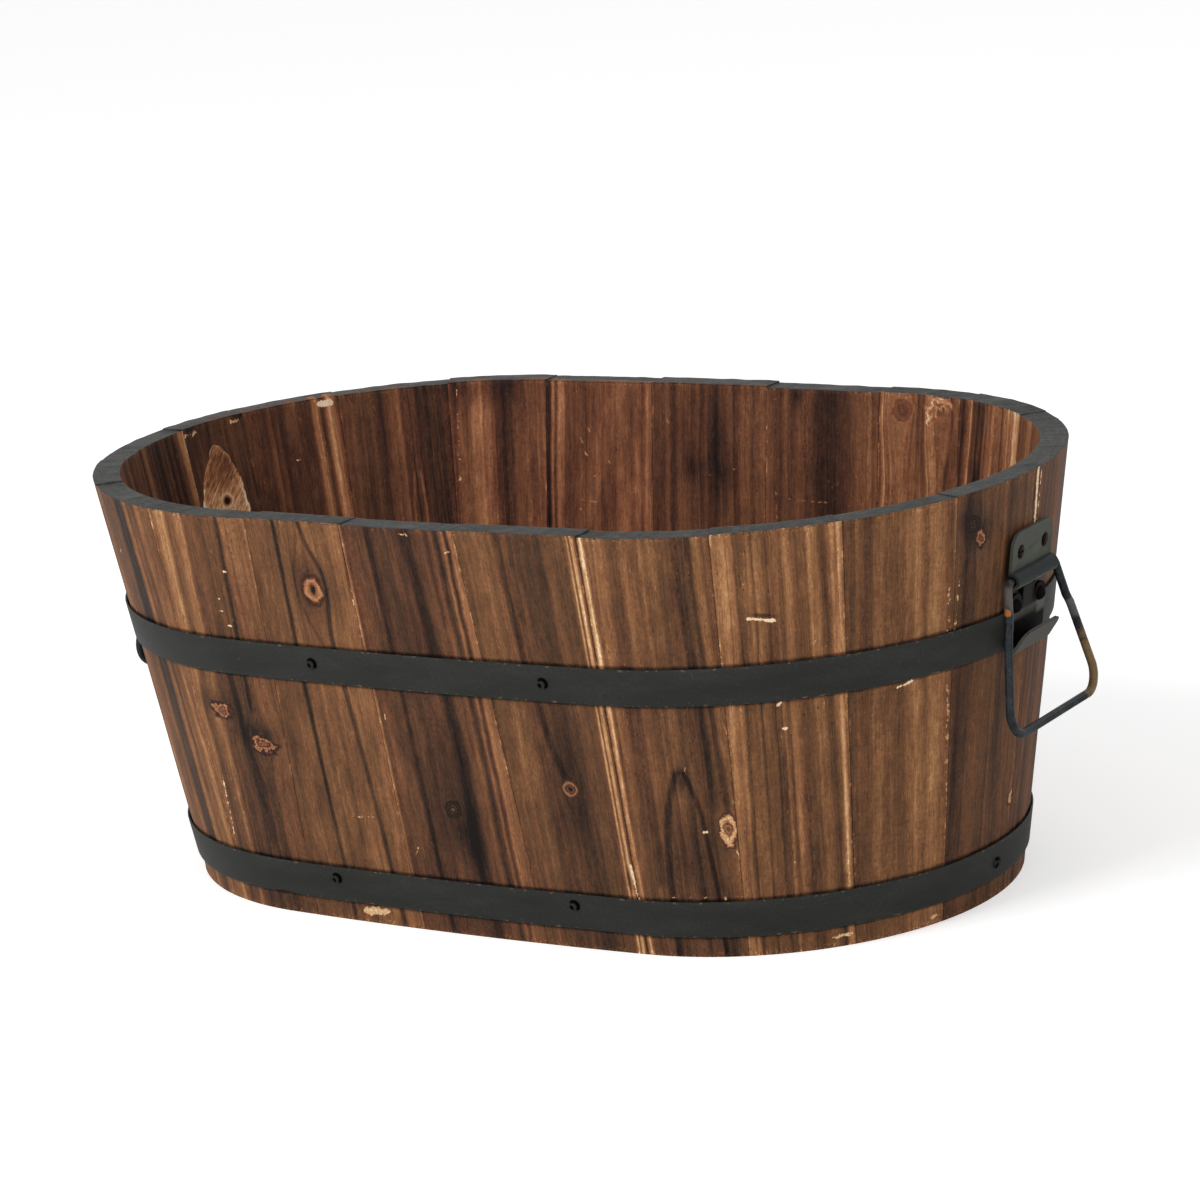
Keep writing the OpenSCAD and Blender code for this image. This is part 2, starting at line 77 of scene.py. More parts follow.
class Paint:  # one material, or the world, and the nodes that are added to it
    def __init__(self, name, shelf=bpy.data.materials):
        self.material = shelf.new(name)
        self.material.use_nodes = True
        self.tree = self.material.node_tree
        self.surface = self.tree.nodes.get("Principled BSDF")

    def feed(self, socket, value):
        if isinstance(value, Wire):
            self.tree.links.new(value.socket, socket)
        else:
            socket.default_value = shade(value) if isinstance(value, str) else value

    def node(self, kind, settings=None, values=None, output=0):
        made = self.tree.nodes.new("ShaderNode" + kind)
        for name, setting in (settings or {}).items():
            if name == "stops":
                ramp = made.color_ramp
                while len(ramp.elements) < len(setting):
                    ramp.elements.new(0.5)
                for stop, (place, look) in zip(ramp.elements, sorted(setting.items())):
                    stop.position = place
                    stop.color = shade(look) if isinstance(look, str) else grey(look)
            elif name == "ease":
                made.color_ramp.interpolation = setting
            else:
                setattr(made, name, setting)
        for name, value in (values or {}).items():
            self.feed(made.inputs[name], value)
        return Wire(self, made.outputs[output])

    def maths(self, operation, *terms):
        return self.node("Math", {"operation": operation}, dict(enumerate(terms)))

    def split(self, vector):
        first = self.node("SeparateXYZ", None, {0: vector})
        return [Wire(self, out) for out in first.socket.node.outputs]

    def layer(self, name):  # the three parts of a value that the mesh carries
        return self.split(self.node("Attribute", {"attribute_name": name}, output="Vector"))

    def noise(self, x, y, z, detail=2.0, rough=0.5):
        place = self.node("CombineXYZ", None, {0: x, 1: y, 2: z})
        values = {"Vector": place, "Scale": 1.0, "Detail": detail, "Roughness": rough}
        return self.node("TexNoise", None, values)

    def step(self, value, low, high, bottom=0.0, top=1.0):  # smooth rise from bottom to top
        settings = {"interpolation_type": "SMOOTHSTEP"}
        return self.node("MapRange", settings, {0: value, 1: low, 2: high, 3: bottom, 4: top})

    def fall(self, value, low, high):  # smooth fall from 1 to 0
        return self.step(value, low, high, 1.0, 0.0)

    def reach(self, aside, above):  # distance from a middle
        return self.maths("SQRT", aside * aside + above * above)

    def glow(self, aside, above):  # 1 in a middle, and fading all round it
        return self.maths("EXPONENT", -(aside * aside + above * above))

    def shades(self, value, stops, ease="LINEAR"):  # colours or plain tones along a value
        return self.node("ValToRGB", {"stops": stops, "ease": ease}, {0: value})

    def over(self, mask, under, top):  # colour top over colour under where the mask is 1
        settings = {"data_type": "RGBA"}
        return self.node("Mix", settings, {0: mask, 6: under, 7: top}, output=2)

    def scaled(self, colour, factor):
        return self.node("VectorMath", {"operation": "SCALE"}, {0: colour, 3: factor})

    def bump(self, height, depth, strength=1.0):
        values = {"Strength": strength, "Distance": depth, "Height": height}
        return self.node("Bump", None, values)

    def finish(self, colour, rough, normal=None, gloss=0.5):
        values = {"Base Color": colour, "Roughness": rough, "Specular IOR Level": gloss}
        if normal:
            values["Normal"] = normal
        for name, value in values.items():
            self.feed(self.surface.inputs[name], value)
        return self.material


def shade(code):  # a colour written as on a paint chart, in the renderer's units
    parts = [int(code[k:k + 2], 16) / 255 for k in (0, 2, 4)]
    linear = [p / 12.92 if p < 0.04045 else ((p + 0.055) / 1.055) ** 2.4 for p in parts]
    return (*linear, 1.0)


def grey(level):
    return (level, level, level, 1.0)


# The tub's shape: four arcs that meet on a tangent, with a wall that leans in

tub = {
    "length": 560 * mm,
    "width": 360 * mm,
    "height": 230 * mm,
    "flare": 37 * mm,      # how far the wall leans in from rim to foot
    "sideBow": 3 * mm,     # how much smaller the end arcs are than half the width
    "wall": 15 * mm,
}
halfLength, halfWidth = tub["length"] / 2, tub["width"] / 2
tubHeight = tub["height"]
slant = math.atan(tub["flare"] / tubHeight)
endRadius = halfWidth - tub["sideBow"]
endX = halfLength - endRadius
sideY = (endX ** 2 - tub["sideBow"] ** 2) / (2 * tub["sideBow"])
sideRadius = halfWidth + sideY
turn = math.atan2(sideY, endX)
quarter = endRadius * turn
sideRun = sideRadius * (math.pi - 2 * turn)
rimRun = 4 * quarter + 2 * sideRun
arcs = [  # centre x and y, radius, start angle, length along the rim where it starts
    (endX, 0, endRadius, -turn, -quarter),
    (0, -sideY, sideRadius, turn, quarter),
    (-endX, 0, endRadius, math.pi - turn, quarter + sideRun),
    (0, sideY, sideRadius, math.pi + turn, 3 * quarter + sideRun),
]


def arcAt(along):  # centre x and y, radius and angle there
    along = (along + quarter) % rimRun - quarter
    x, y, radius, start, first = [arc for arc in arcs if along >= arc[4] - 1e-9][-1]
    return x, y, radius, start + (along - first) / radius


def wallPlace(along, up, depth=0.0):  # depth is measured inwards from the outside of the wall
    x, y, radius, angle = arcAt(along)
    reach = radius - tub["flare"] * (1 - up / tubHeight) - depth
    return Vector((x + reach * math.cos(angle), y + reach * math.sin(angle), up))


def wallFrame(along, up):  # Z out of the wall, Y up it and X along it
    angle = arcAt(along)[3]
    out = Vector((math.cos(angle) * math.cos(slant), math.sin(angle) * math.cos(slant), -math.sin(slant)))
    level = Vector((-math.sin(angle), math.cos(angle), 0))
    rise = out.cross(level)
    turned = Matrix((level, rise, out)).transposed().to_4x4()
    return Matrix.Translation(wallPlace(along, up)) @ turned


def narrowing(along, up):  # how much shorter a length along the wall is there than at the rim
    radius = arcAt(along)[2]
    return (radius - tub["flare"] * (1 - up / tubHeight)) / radius


# Mesh helpers

def linked(name, held):  # a new object that holds a mesh, a lamp or a camera
    made = bpy.data.objects.new(name, held)
    bpy.context.scene.collection.objects.link(made)
    return made


# Makes a mesh a piece that rides on a body and replaces a node, whose name it takes
def finishPiece(bm, material, node, body="barrel", sharpAngle=50):
    first, *others = node.split("_")
    name = first + "".join(word.title() for word in others)
    bmesh.ops.recalc_face_normals(bm, faces=bm.faces)
    mesh = bpy.data.meshes.new(name)
    bm.to_mesh(mesh)
    bm.free()
    mesh.shade_smooth()
    mesh.set_sharp_from_angle(angle=math.radians(sharpAngle))
    mesh.materials.append(material)
    piece = linked(name, mesh)
    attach(piece, body)
    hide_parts(node)


def edgesAlong(bm, axis):
    other = [k for k in range(3) if k != axis]
    return [
        e for e in bm.edges
        if all(abs(e.verts[0].co[k] - e.verts[1].co[k]) < closeBy for k in other)
    ]


def blockOf(low, high, cuts):  # a box with even rows of faces
    bm = bmesh.new()
    bmesh.ops.create_cube(bm, size=1.0)
    size = high - low
    bmesh.ops.scale(bm, vec=size, verts=bm.verts)
    bmesh.ops.translate(bm, vec=(low + high) / 2, verts=bm.verts)
    for axis in range(3):
        if cuts[axis]:
            edges = edgesAlong(bm, axis)
            bmesh.ops.subdivide_edges(bm, edges=edges, cuts=cuts[axis], use_grid_fill=True)
    return bm


def sliceAt(bm, place, way):  # cuts each face that crosses a plane
    everything = bm.verts[:] + bm.edges[:] + bm.faces[:]
    bmesh.ops.bisect_plane(bm, geom=everything, dist=closeBy, plane_co=place, plane_no=way)


def easeEdges(bm, offset, least=0.6):  # rounds the outer edges that turn more than least
    edges = [e for e in bm.edges if e.is_manifold and e.is_convex and e.calc_face_angle() > least]
    bmesh.ops.bevel(
        bm, geom=edges, offset=offset, segments=2, profile=0.5,
        affect="EDGES", material=-1, clamp_overlap=True,
    )


# heights of the two hoops, which the painted shade on the wood follows
upperMiddle = tubHeight - 80.5 * mm
lowerMiddle = 21.5 * mm

# Staves: each is a board with its own grain, bent onto the wall

staveForm = {
    "count": 22,
    "firstJoint": 9 * mm,
    "shift": [0, 2, -2, -3, -10, -4, 4, 7, 5, 8, 7, -10, 2, -3, 6, 9, 1, 2, 4, 3, 0, -3],
    "lean": [0, 2, -2, 0, 3, 0, -3, 2, 0, -2, 0, 2, 0, 3, -2, -10, 0, 10, 0, 0, 3, 3],
    "rimDrop": [0, .5, 0, .4, .9, 0, .5, 0, .8, .3, 0, .5, 0, .7, .8, 0, .5, 0, .9, .3, .5, 0],
    "gap": 0.08 * mm,       # between neighbours
    "round": 0.5 * mm,      # at most, as the closest rows of faces leave room for
    "columns": 40,          # rows of faces across, up and through a board
    "rows": 76,
    "layers": 5,
    "grooveLow": 18 * mm,
    "grooveHigh": 32.4 * mm,
    "grooveDepth": 5 * mm,
    "relief": 0.22 * mm,    # depth of the brushed grain
    "swell": 0.25 * mm,     # broader unevenness of the faces
    "sawMarks": 0.3 * mm,
    "fade": 3 * mm,         # the relief fades out this far from an edge
    "skin": 0.4 * mm,       # points this close to a face belong to it
    "crown": 0.8 * mm,      # and these to the sawn rim
    "weld": 0.004 * mm,
}


def jointAt(number, up):  # length along the rim of a joint at a height
    k = number % staveForm["count"]
    even = staveForm["firstJoint"] + number * rimRun / staveForm["count"]
    there = even + staveForm["shift"][k] * mm
    sideways = staveForm["lean"][k] * mm * (1 - up / tubHeight)
    return there + sideways / narrowing(there, up)


def cutGroove(bm, width):
    low, high = staveForm["grooveLow"], staveForm["grooveHigh"]
    floor = tub["wall"] - staveForm["grooveDepth"]
    for height in (low, high):
        sliceAt(bm, (0, 0, height), (0, 0, 1))
    sliceAt(bm, (0, floor, 0), (0, 1, 0))
    band = [f for f in bm.faces if f.normal.y > 0.99 and low < f.calc_center_median().z < high]
    made = bmesh.ops.extrude_face_region(bm, geom=band)["geom"]
    moved = [v for v in made if isinstance(v, bmesh.types.BMVert)]
    bmesh.ops.delete(bm, geom=band, context="FACES")
    bmesh.ops.translate(bm, vec=(0, -staveForm["grooveDepth"], 0), verts=moved)
    steps = staveForm["layers"] + 1
    for k in range(1, steps):  # the groove's walls are cut where the ends are
        depth = tub["wall"] * k / steps
        if depth > floor + closeBy:
            sliceAt(bm, (0, depth, 0), (0, 1, 0))
    bm.normal_update()
    ends = [  # the groove runs out through both sides of the board
        f for f in bm.faces
        if abs(abs(f.calc_center_median().x) - width / 2) < closeBy
        and low < f.calc_center_median().z < high
        and f.calc_center_median().y > floor
    ]
    bmesh.ops.delete(bm, geom=ends, context="FACES")
    bmesh.ops.remove_doubles(bm, verts=bm.verts, dist=closeBy)


def roughen(bm, number, width, top):  # brushed grain on the faces and saw marks along the rim
    low, high, skin = staveForm["grooveLow"] - mm, staveForm["grooveHigh"] + mm, staveForm["skin"]
    for v in bm.verts:
        x, y, z = v.co
        inset = min(width / 2 - abs(x), z, top - z)
        fade = min(1.0, max(0.0, inset / staveForm["fade"]))
        ridge = noise.noise((x / (2.6 * mm), z / (70 * mm), number * 7.3 + y * 40))
        swell = noise.noise((x / (18 * mm), z / (90 * mm), number * 3.1 + y * 90))
        if y < skin or (y > tub["wall"] - skin and not low < z < high):
            into = 1 if y < skin else -1
            depth = staveForm["relief"] * (ridge + 0.6) + staveForm["swell"] * (swell + 0.5)
            v.co.y += into * fade * depth
        if z > top - staveForm["crown"]:
            saw = noise.noise((x / (9 * mm), y / (5 * mm), number * 5.7))
            v.co.z -= staveForm["sawMarks"] * (0.5 + saw)


def bendOntoWall(bm, number, width):
    board = bm.verts.layers.float_vector.new("board")
    joint = bm.verts.layers.float.new("joint")
    for v in bm.verts:
        share = v.co.x / width + 0.5
        left, right = jointAt(number, v.co.z), jointAt(number + 1, v.co.z)
        middle = (left + right) / 2
        narrow = narrowing(middle, v.co.z)
        run = right - left - staveForm["gap"] / narrow
        across = (share - 0.5) * run
        v[board] = (across * narrow / mm, v.co.z / mm, v.co.y / mm)
        v[joint] = (run / 2 - abs(across)) * narrow / mm
        v.co = wallPlace(middle + across, v.co.z, v.co.y)


def makeStave(number, material):
    top = tubHeight - staveForm["rimDrop"][number] * mm
    width = jointAt(number + 1, tubHeight) - jointAt(number, tubHeight)
    low, high = Vector((-width / 2, 0, 0)), Vector((width / 2, tub["wall"], top))
    cuts = (staveForm["columns"], staveForm["layers"], staveForm["rows"])
    bm = blockOf(low, high, cuts)
    cutGroove(bm, width)
    easeEdges(bm, staveForm["round"])
    bmesh.ops.remove_doubles(bm, verts=bm.verts, dist=staveForm["weld"])
    roughen(bm, number, width, top)
    bendOntoWall(bm, number, width)
    finishPiece(bm, material, "stave_%02d" % (number + 1))


# Wood tones from charred to bare. The second set is for redder bands of grain
tonePlaces = (0.0, 0.15, 0.32, 0.5, 0.66, 0.82, 0.92, 1.0)
tanCodes = ("16110f", "2b1f18", "4c3526", "704c32", "956844", "c09062", "deb788", "f2dcb8")
redCodes = ("160f0c", "301d17", "543225", "7a4c35", "9f6848", "c98f66", "e2b48a", "f4dabb")
tanStops, redStops = dict(zip(tonePlaces, tanCodes)), dict(zip(tonePlaces, redCodes))

# Grain of each board. Places are in millimetres: across from the board's middle, and up from the foot.
# tone: how light; red: how red; period: width of a growth ring; contrast: between rings; bold: between
# streaks; foot: change towards the foot; stain: how far in the rim is stained; bare: how pale its chips
# are; ripple: brush marks across; flecks: pale flecks and dark pits
# streaks: {across: change of tone in hundredths}; left and right: the same, by distance from that joint
# lines: ({up: across}, half width, strength, lowest, highest)
# knots: (across, up, half width, half height, kind)
# hearts: pale cathedral patches at (across, apex, half width, depth)
# smudges: scorched patches at (across, up, half width, half height, strength)
# chips: bare wood at (across, up, length, thickness, degrees, how broken up)
plainGrain = {
    "tone": 0.46, "red": 0.3, "period": 6.0, "contrast": 1.0, "bold": 1.0, "foot": 0.0,
    "stain": 15, "bare": 1.05, "ripple": 0.05, "flecks": 1.0,
    "streaks": {}, "left": {}, "right": {}, "lines": [], "knots": [], "hearts": [], "smudges": [], "chips": [],
}
boardTop = tubHeight / mm
streakSpan = 42         # how far the streaks reach to either side of the middle
edgeSpan = 12           # and those by a joint, from it
markedInside = range(2, 11)    # the boards whose marks are on the inner face, as the others' are outside
boardGrain = {}

boardGrain[13] = dict(
    tone=.39, red=.1, period=8, contrast=.6, bold=1.6, foot=.17,
    streaks={-40: 12, -34: 6, -30: 14, -26: 0, -20: 6, -14: -4, -10: 4, -4: 0, 2: -14, 7: -12, 10: 10, 14: 14,
             17: -2, 21: 4, 26: 12, 30: 0, 38: 12},
    chips=[(-17, 196, 3, 1.4, 60, .6), (-20, 160, 3, 1.5, 70, .6)],
)
boardGrain[14] = dict(
    tone=.59, red=.2, contrast=.55, foot=-.19, flecks=1.6,
    streaks={-36: 8, -31: 4, -28: 20, -24: 18, -21: -4, -17: 6, -13: 16, -10: 10, -8: -6, -2: -10, 4: -10, 9: -2,
             14: -8, 17: 4, 22: 6, 26: 12, 30: -10, 34: 8},
    lines=[({230: 16, 190: 15, 160: 14, 120: 12}, 1.3, .26, 118, 300),
           ({150: 2, 137: 1, 115: 3, 90: 6, 40: 8}, 2.4, .16, 40, 150)],
    knots=[(-10, 116, 9, 5.5, "red"), (15, 99, 9, 5.5, "red")],
    smudges=[(-14, 121, 11, 7, .2), (14, 104, 12, 7, .24), (4, 112, 5, 26, .14)],
    chips=[(15, 198, 2, 1.8, 0, .3), (6, 182, 2, 1.2, 0, .4), (6, 175, 2, 1.4, 0, .4), (10, 167, 1.4, 2, 0, .5),
           (-24, 57, 36, 1.6, 88, .7)],
)
boardGrain[15] = dict(
    tone=.49, red=.1, period=9, contrast=.35, bold=1.6, ripple=.04, flecks=.5,
    streaks={-34: -2, -22: 0, -14: 3, -10: 4, 2: 5, 12: 2, 20: 6, 28: 8, 34: 2},
    lines=[({230: -12, 137: -12.6, 97: -12, 37: -10, 0: -9}, 1.3, .27, -9, 300),
           ({230: 4, 216: 7, 204: 13, 190: 14.5, 172: 11, 137: 14, 97: 17, 37: 22, 0: 24}, 1.5, .25, -9, 300),
           ({230: 2, 216: 1, 206: -3, 192: -5, 178: -2, 160: 6, 140: 13}, .9, .1, 150, 300)],
    knots=[(6, 192, 7, 8.5, "ring")], smudges=[(6, 192, 12, 14, .24)],
    chips=[(6, 7, 14, 6, 5, 1), (33, 205, 44, 2.2, 87, .7), (10, 63, 16, .8, 4, 1.2)],
)
boardGrain[16] = dict(
    tone=.34, red=.4, period=8, contrast=.4, bold=1.3, flecks=.7,
    streaks={-35: 3, -22: 2, -16.5: 0, -8: -2, 0: 0, 6: -6, 12: -4, 15: 4, 18: -2, 21: 14, 24: -6, 27.5: 28,
             29.5: -8, 32: 34, 35: 20},
    left={0: 30, 1: 22, 2: -4, 5: 0},
    lines=[({230: -18.6, 137: -18.5, 37: -19.5, 0: -19}, 1.5, .22, -9, 300),
           ({230: 3, 185: 7, 137: 9, 97: 12, 70: 9, 50: 8, 0: 10}, 3.6, .14, -9, 300)],
    knots=[(-2, 73, 5, 5, "dark")], smudges=[(0, 66, 11, 18, .16), (8, 52, 7, 20, .14), (-4, 170, 6, 40, .06)],
    chips=[(31, 218, 7, 1.6, 10, 1), (-33, 123, 3, 1.2, 80, .3), (-32, 46, 5, 1.2, 60, .4),
           (6, 226, 8, 1.4, -6, 1)],
)
boardGrain[17] = dict(
    tone=.44, red=.12, period=8, contrast=.3, bold=1.3, foot=-.09, flecks=.4,
    streaks={-36: 2, -30: 6, -24: 13, -16: 10, -12: 4, -9: -2, -2: -2, 6: -3, 12: -2, 18: 2, 24: -2, 30: 0},
    right={0: 0, 1.2: 18, 2.2: 50, 3.4: 46, 4.3: 12, 5.4: 50, 6.4: 12, 8: 0},
    lines=[({230: -12, 190: -10.5, 160: -9, 137: -6.5, 115: -3.5, 100: 1, 90: 2}, 2, .16, 97, 300),
           ({230: 12, 160: 10, 130: 8, 112: 6.5, 100: 4, 90: 3}, 2.6, .06, 97, 300)],
    knots=[(3, 91, 4.8, 4.8, "eye")], smudges=[(3, 78, 7, 14, .1), (3, 118, 5, 22, .08)],
    chips=[(30.5, 42, 16, 3.2, 94, .6)],
)
boardGrain[18] = dict(
    tone=.485, red=.15, period=7, contrast=.5, bold=1.2, foot=-.15, flecks=1.3,
    streaks={-36: 0, -26: 5, -22: 8, -19: -5, -10: 5, -4: 8, 6: 8, 12: 4, 16: -4, 20: -6, 24: 0, 28: 12, 34: 6},
    left={0: -10, 1.2: 30, 2.4: 42, 3.6: 10, 4.6: -4, 6: 6},
    lines=[({107: 4, 100: .5, 88: -3.5, 77: -5.7, 57: -8, 37: -8.5, 0: -9}, 1.9, .24, -9, 105),
           ({107: 4, 100: 7, 88: 10.5, 77: 12.5, 57: 14.5, 37: 15.5, 0: 16}, 1.4, .2, -9, 105),
           ({230: -14, 137: -14, 37: -13}, 2.6, .13, 40, 300),
           ({230: 16, 170: 17, 137: 18, 85: 21}, 2.2, .13, 82, 300),
           ({230: 23, 137: 24, 85: 26}, 1.6, .2, 82, 300)],
    knots=[(25, 71, 5, 10, "pale")], smudges=[(4, 100, 3, 7, .3), (3, 60, 9, 24, .12)],
    chips=[(13, 70, 2, 1.8, 0, .2), (12, 33.6, 44, 1.2, 0, 1.5), (-29, 41, 20, 2, 96, .7),
           (7.5, 106, 4, 1.2, 60, .4), (29, 54, 12, 1.2, 100, .8)],
)
boardGrain[19] = dict(
    tone=.58, red=.1, period=5, contrast=.7, bold=1.1, foot=-.09, flecks=1.5,
    streaks={-36: 0, -31: 6, -27: 13, -22: 10, -19.5: -6, -17: 2, -12: 0, -9: -4, -6: -12, -3: -8, 1: -2,
             3.5: 12, 6: 0, 9: -6, 12: -2, 16: 12, 19: 10, 22.5: -16, 25: 6, 28: 10, 30: 2},
    right={0: -5, 1.4: 8, 2.6: 22, 3.6: 12, 4.6: -6, 7: 0},
    chips=[(-10, 183, 14, 2.2, -9, .25), (-4, 137.5, 2.4, 2, 40, .2), (-2, 124, 1.8, 1.6, 0, .2),
           (22, 6, 10, 2.4, 4, 1)],
)
boardGrain[20] = dict(
    tone=.53, red=.08, period=8, contrast=.3, bold=1.3, ripple=.09, flecks=.8,
    streaks={-35: -16, -31: -6, -28.5: -14, -26: -2, -23.5: -10, -20: -14, -17: 0, -13: 4, -8: -2, -2: -2, 4: 3,
             9: 10, 13: 4, 17: 10, 22: 12, 27: 0, 30: -4, 33: 10},
    chips=[(-2, 136.5, 2.6, 1.6, 10, .2), (3, 137.5, 5, 2, 14, .2), (28, 90, 190, 1.2, 90, 1.6),
           (22, 4, 6, 2, 0, 1)],
)
boardGrain[21] = dict(
    tone=.38, red=.15, period=8, contrast=.45, bold=1.3,
    streaks={-36: 6, -30: 4, -27: -8, -20: -2, -12: 6, 0: 8, 8: 0, 14: 6, 20: 2, 26: 10, 36: 12},
    knots=[(-24, 213, 5, 4, "dark"), (-17, 204, 4.5, 5, "red"), (31, 52, 6, 5, "pale")],
    smudges=[(-17, 208, 9, 9, .24), (-30, 217, 6, 7, .16)],
    chips=[(33.2, 214, 34, 2.8, 90, .4), (30, 57, 12, 2, 80, .4), (-32, 160, 50, 1.2, 88, 1.3)],
)
boardGrain[0] = dict(
    tone=.42, period=7, contrast=.7,
    chips=[(-34.2, 212, 30, 1.6, 90, .6)],
)
boardGrain[12] = dict(
    tone=.4, contrast=.7,
    streaks={-30: 10, -20: -10, -10: 15, 0: -5, 10: 10, 20: -10, 30: 12},
)
boardGrain[11] = dict(
    tone=.33, contrast=.8, flecks=1.6,
    streaks={-39: 30, -35: 26, -32: 0, -24: -6, -16: 8, -11: -6, -2: -4, 4: 14, 9: 20, 14: -6, 22: -2, 30: 6},
)
boardGrain[10] = dict(
    tone=.34, red=.2, contrast=.5, stain=6,
    knots=[(0, 183, 5, 4.4, "hole")], hearts=[(0, 216, 18, 26)],
    chips=[(-24, 226, 16, 2.4, 0, 1), (20, 226, 12, 2.4, 0, 1)],
)
boardGrain[9] = dict(
    tone=.415, red=.6, contrast=.6, bold=1.1, stain=6, flecks=1.3,
    streaks={-36: 0, -33: -4, -30: 24, -27: 26, -25: 12, -23: -10, -21: 2, -19: 30, -17: 20, -15: 0, 0: 4,
             12: -4, 30: 2},
    chips=[(-25, 226, 8, 4.6, 0, .4), (-2, 196, 10, 1, 0, 1)],
)
boardGrain[8] = dict(
    tone=.355, red=.5, contrast=.8, stain=6, flecks=1.8,
    streaks={-34: -12, -26: -10, -18: -12, -10: 0, -4: 12, 2: 16, 7: 8, 10: -4, 15: 10, 19: -2, 25: 6, 29: 16,
             33: 10, 36: 12},
    lines=[({190: -11, 176: -12.5, 160: -14}, .9, -.2, 100, 180),
           ({190: -10, 176: -8, 160: -6}, .9, -.2, 100, 180)],
)
boardGrain[7] = dict(
    tone=.45, red=.75, contrast=.5, bold=1.9, stain=7, ripple=.08, flecks=1.4,
    streaks={-34: 4, -20: 0, -10: -4, -3: -10, 2: -4, 8: 6, 14: 16, 19: 12, 22: -4, 26: 4, 30: -6, 34: 4},
    smudges=[(14, 226, 26, 10, .2)], chips=[(28, 200, 60, 1.2, 90, 1.4)],
)
boardGrain[6] = dict(
    tone=.445, red=.85, contrast=.35, bold=1.9, stain=9, bare=.84,
    streaks={-36: 2, -33: 14, -30: 4, -26: 10, -22: 0, -17: 6, 0: 0, 20: 0, 25: 10, 27: 18, 29: 2, 31: 16, 33: 0},
    right={0: -30, 2: -26, 4: 0},
    chips=[(8, 205, 11, 1.1, 72, .6), (13, 197, 8, 1.1, 60, .5), (10, 189, 6, 1, 55, .5),
           (-8, 178, 12, 1, 80, .9), (2, 176, 7, 1, -40, .6), (8, 160, 14, 1.1, 5, .8), (13, 155, 8, 1, 30, .7)],
)
boardGrain[5] = dict(
    tone=.365, red=.5, contrast=.6, stain=12, bare=.74, ripple=.06,
    streaks={-36: 18, -30: 8, -24: 12, -20: 0, -14: 0, -8: -4, -2: -3, 6: 6, 14: 2, 20: 4, 26: 14, 31: 0, 36: 2},
    smudges=[(-5, 198, 5, 26, .22), (12, 182, 6, 8, .2), (18, 203, 3, 15, .14), (-10, 178, 8, 10, .15)],
    chips=[(-16, 182, 1.6, 1.6, 0, .5), (0, 178, 1.6, 1.4, 0, .5), (28, 208, 3, 1.4, 60, .5)],
)
boardGrain[4] = dict(
    tone=.4, red=.45, contrast=.5, bare=.78, flecks=1.5,
    streaks={-36: 12, -33: 4, -30: 16, -27: 4, -24: 10, -20: 2, -17: -12, -8: -16, 0: -14, 6: -6, 10: 4, 18: 6,
             24: 8, 28: 0, 36: 10},
    smudges=[(17, 226, 4, 8, .24)], chips=[(0, 166, 44, 1, 2, 1.3), (30, 164, 20, 1.2, 88, 1.2)],
)
boardGrain[3] = dict(
    tone=.48, red=.55, period=5, contrast=.8, bold=2, bare=.9, ripple=.08, flecks=1.4,
    streaks={-36: -10, -31: 2, -26: 2, -20: 0, -12: 4, -9: 14, -6: 2, 4: 6, 10: 4, 20: 10, 23: -2, 26: 16, 29: 0,
             32: 12, 35: 0},
    knots=[(-15, 219, 12, 10, "worn"), (15, 220, 9, 8, "faint")],
    chips=[(-15, 227, 18, 3, 10, .9), (12, 227, 6, 2, -10, .9), (-9, 200, 50, 1.1, 90, 1.2)],
)
boardGrain[2] = dict(
    tone=.45, red=.5, period=4.5, contrast=.9, bold=2, flecks=1.5,
    streaks={-34: 16, -26: 24, -20: 8, -14: 14, -8: 0, 0: 12, 10: -6, 16: -14, 24: 6, 30: -4},
)
boardGrain[1] = dict(
    tone=.45, red=.4, period=4.5, contrast=.9, flecks=1.5,
    streaks={-30: 16, -20: -8, -8: 16, 4: 0, 14: 16, 26: 0},
)


# The place across the board before the grain wandered
def grainLine(paint, across, up, into, seed, look):
    drift = paint.noise(seed, up / 120, 0.4, 1.0) - 0.5
    waver = paint.noise(across / 22 + seed, up / 70, into / 40) - 0.5
    wobble = paint.noise(across / 5 + seed, up / 13, into / 9) - 0.5
    line = across + 2.4 * drift + 2.2 * waver + 1.3 * wobble
    for x, z, wide, tall, kind in look["knots"]:  # grain runs round a knot
        aside = (across - x) / wide
        above = (up - z) / (tall * 2.2)
        near = paint.maths("EXPONENT", -(aside * aside + above * above) / 1.6)
        line -= (across - x) * near * 0.85
    return line


# A tone for each ring, and the darker line where it ends
def growthRings(paint, line, up, into, seed, look):
    wander = paint.noise(line / 24 + seed, up / 420, into / 40, 1.0) * 7
    jitter = paint.noise(line / look["period"] * 0.8 + seed, up / 900, into / 20, 1.0) * 1.6
    turns = line / look["period"] + jitter + wander / look["period"] + seed
    ring = paint.maths("FLOOR", turns)
    phase = turns - ring
    own = paint.node("TexWhiteNoise", {"noise_dimensions": "1D"}, {"W": ring}, "Value")
    late = paint.step(phase, 0.2, 0.9) * paint.fall(phase, 0.86, 1.0)
    soft = paint.noise(turns * 1.1, up / 700, seed, 1.0) - 0.5
    return 0.6 * soft - (0.05 + 0.16 * own) * late


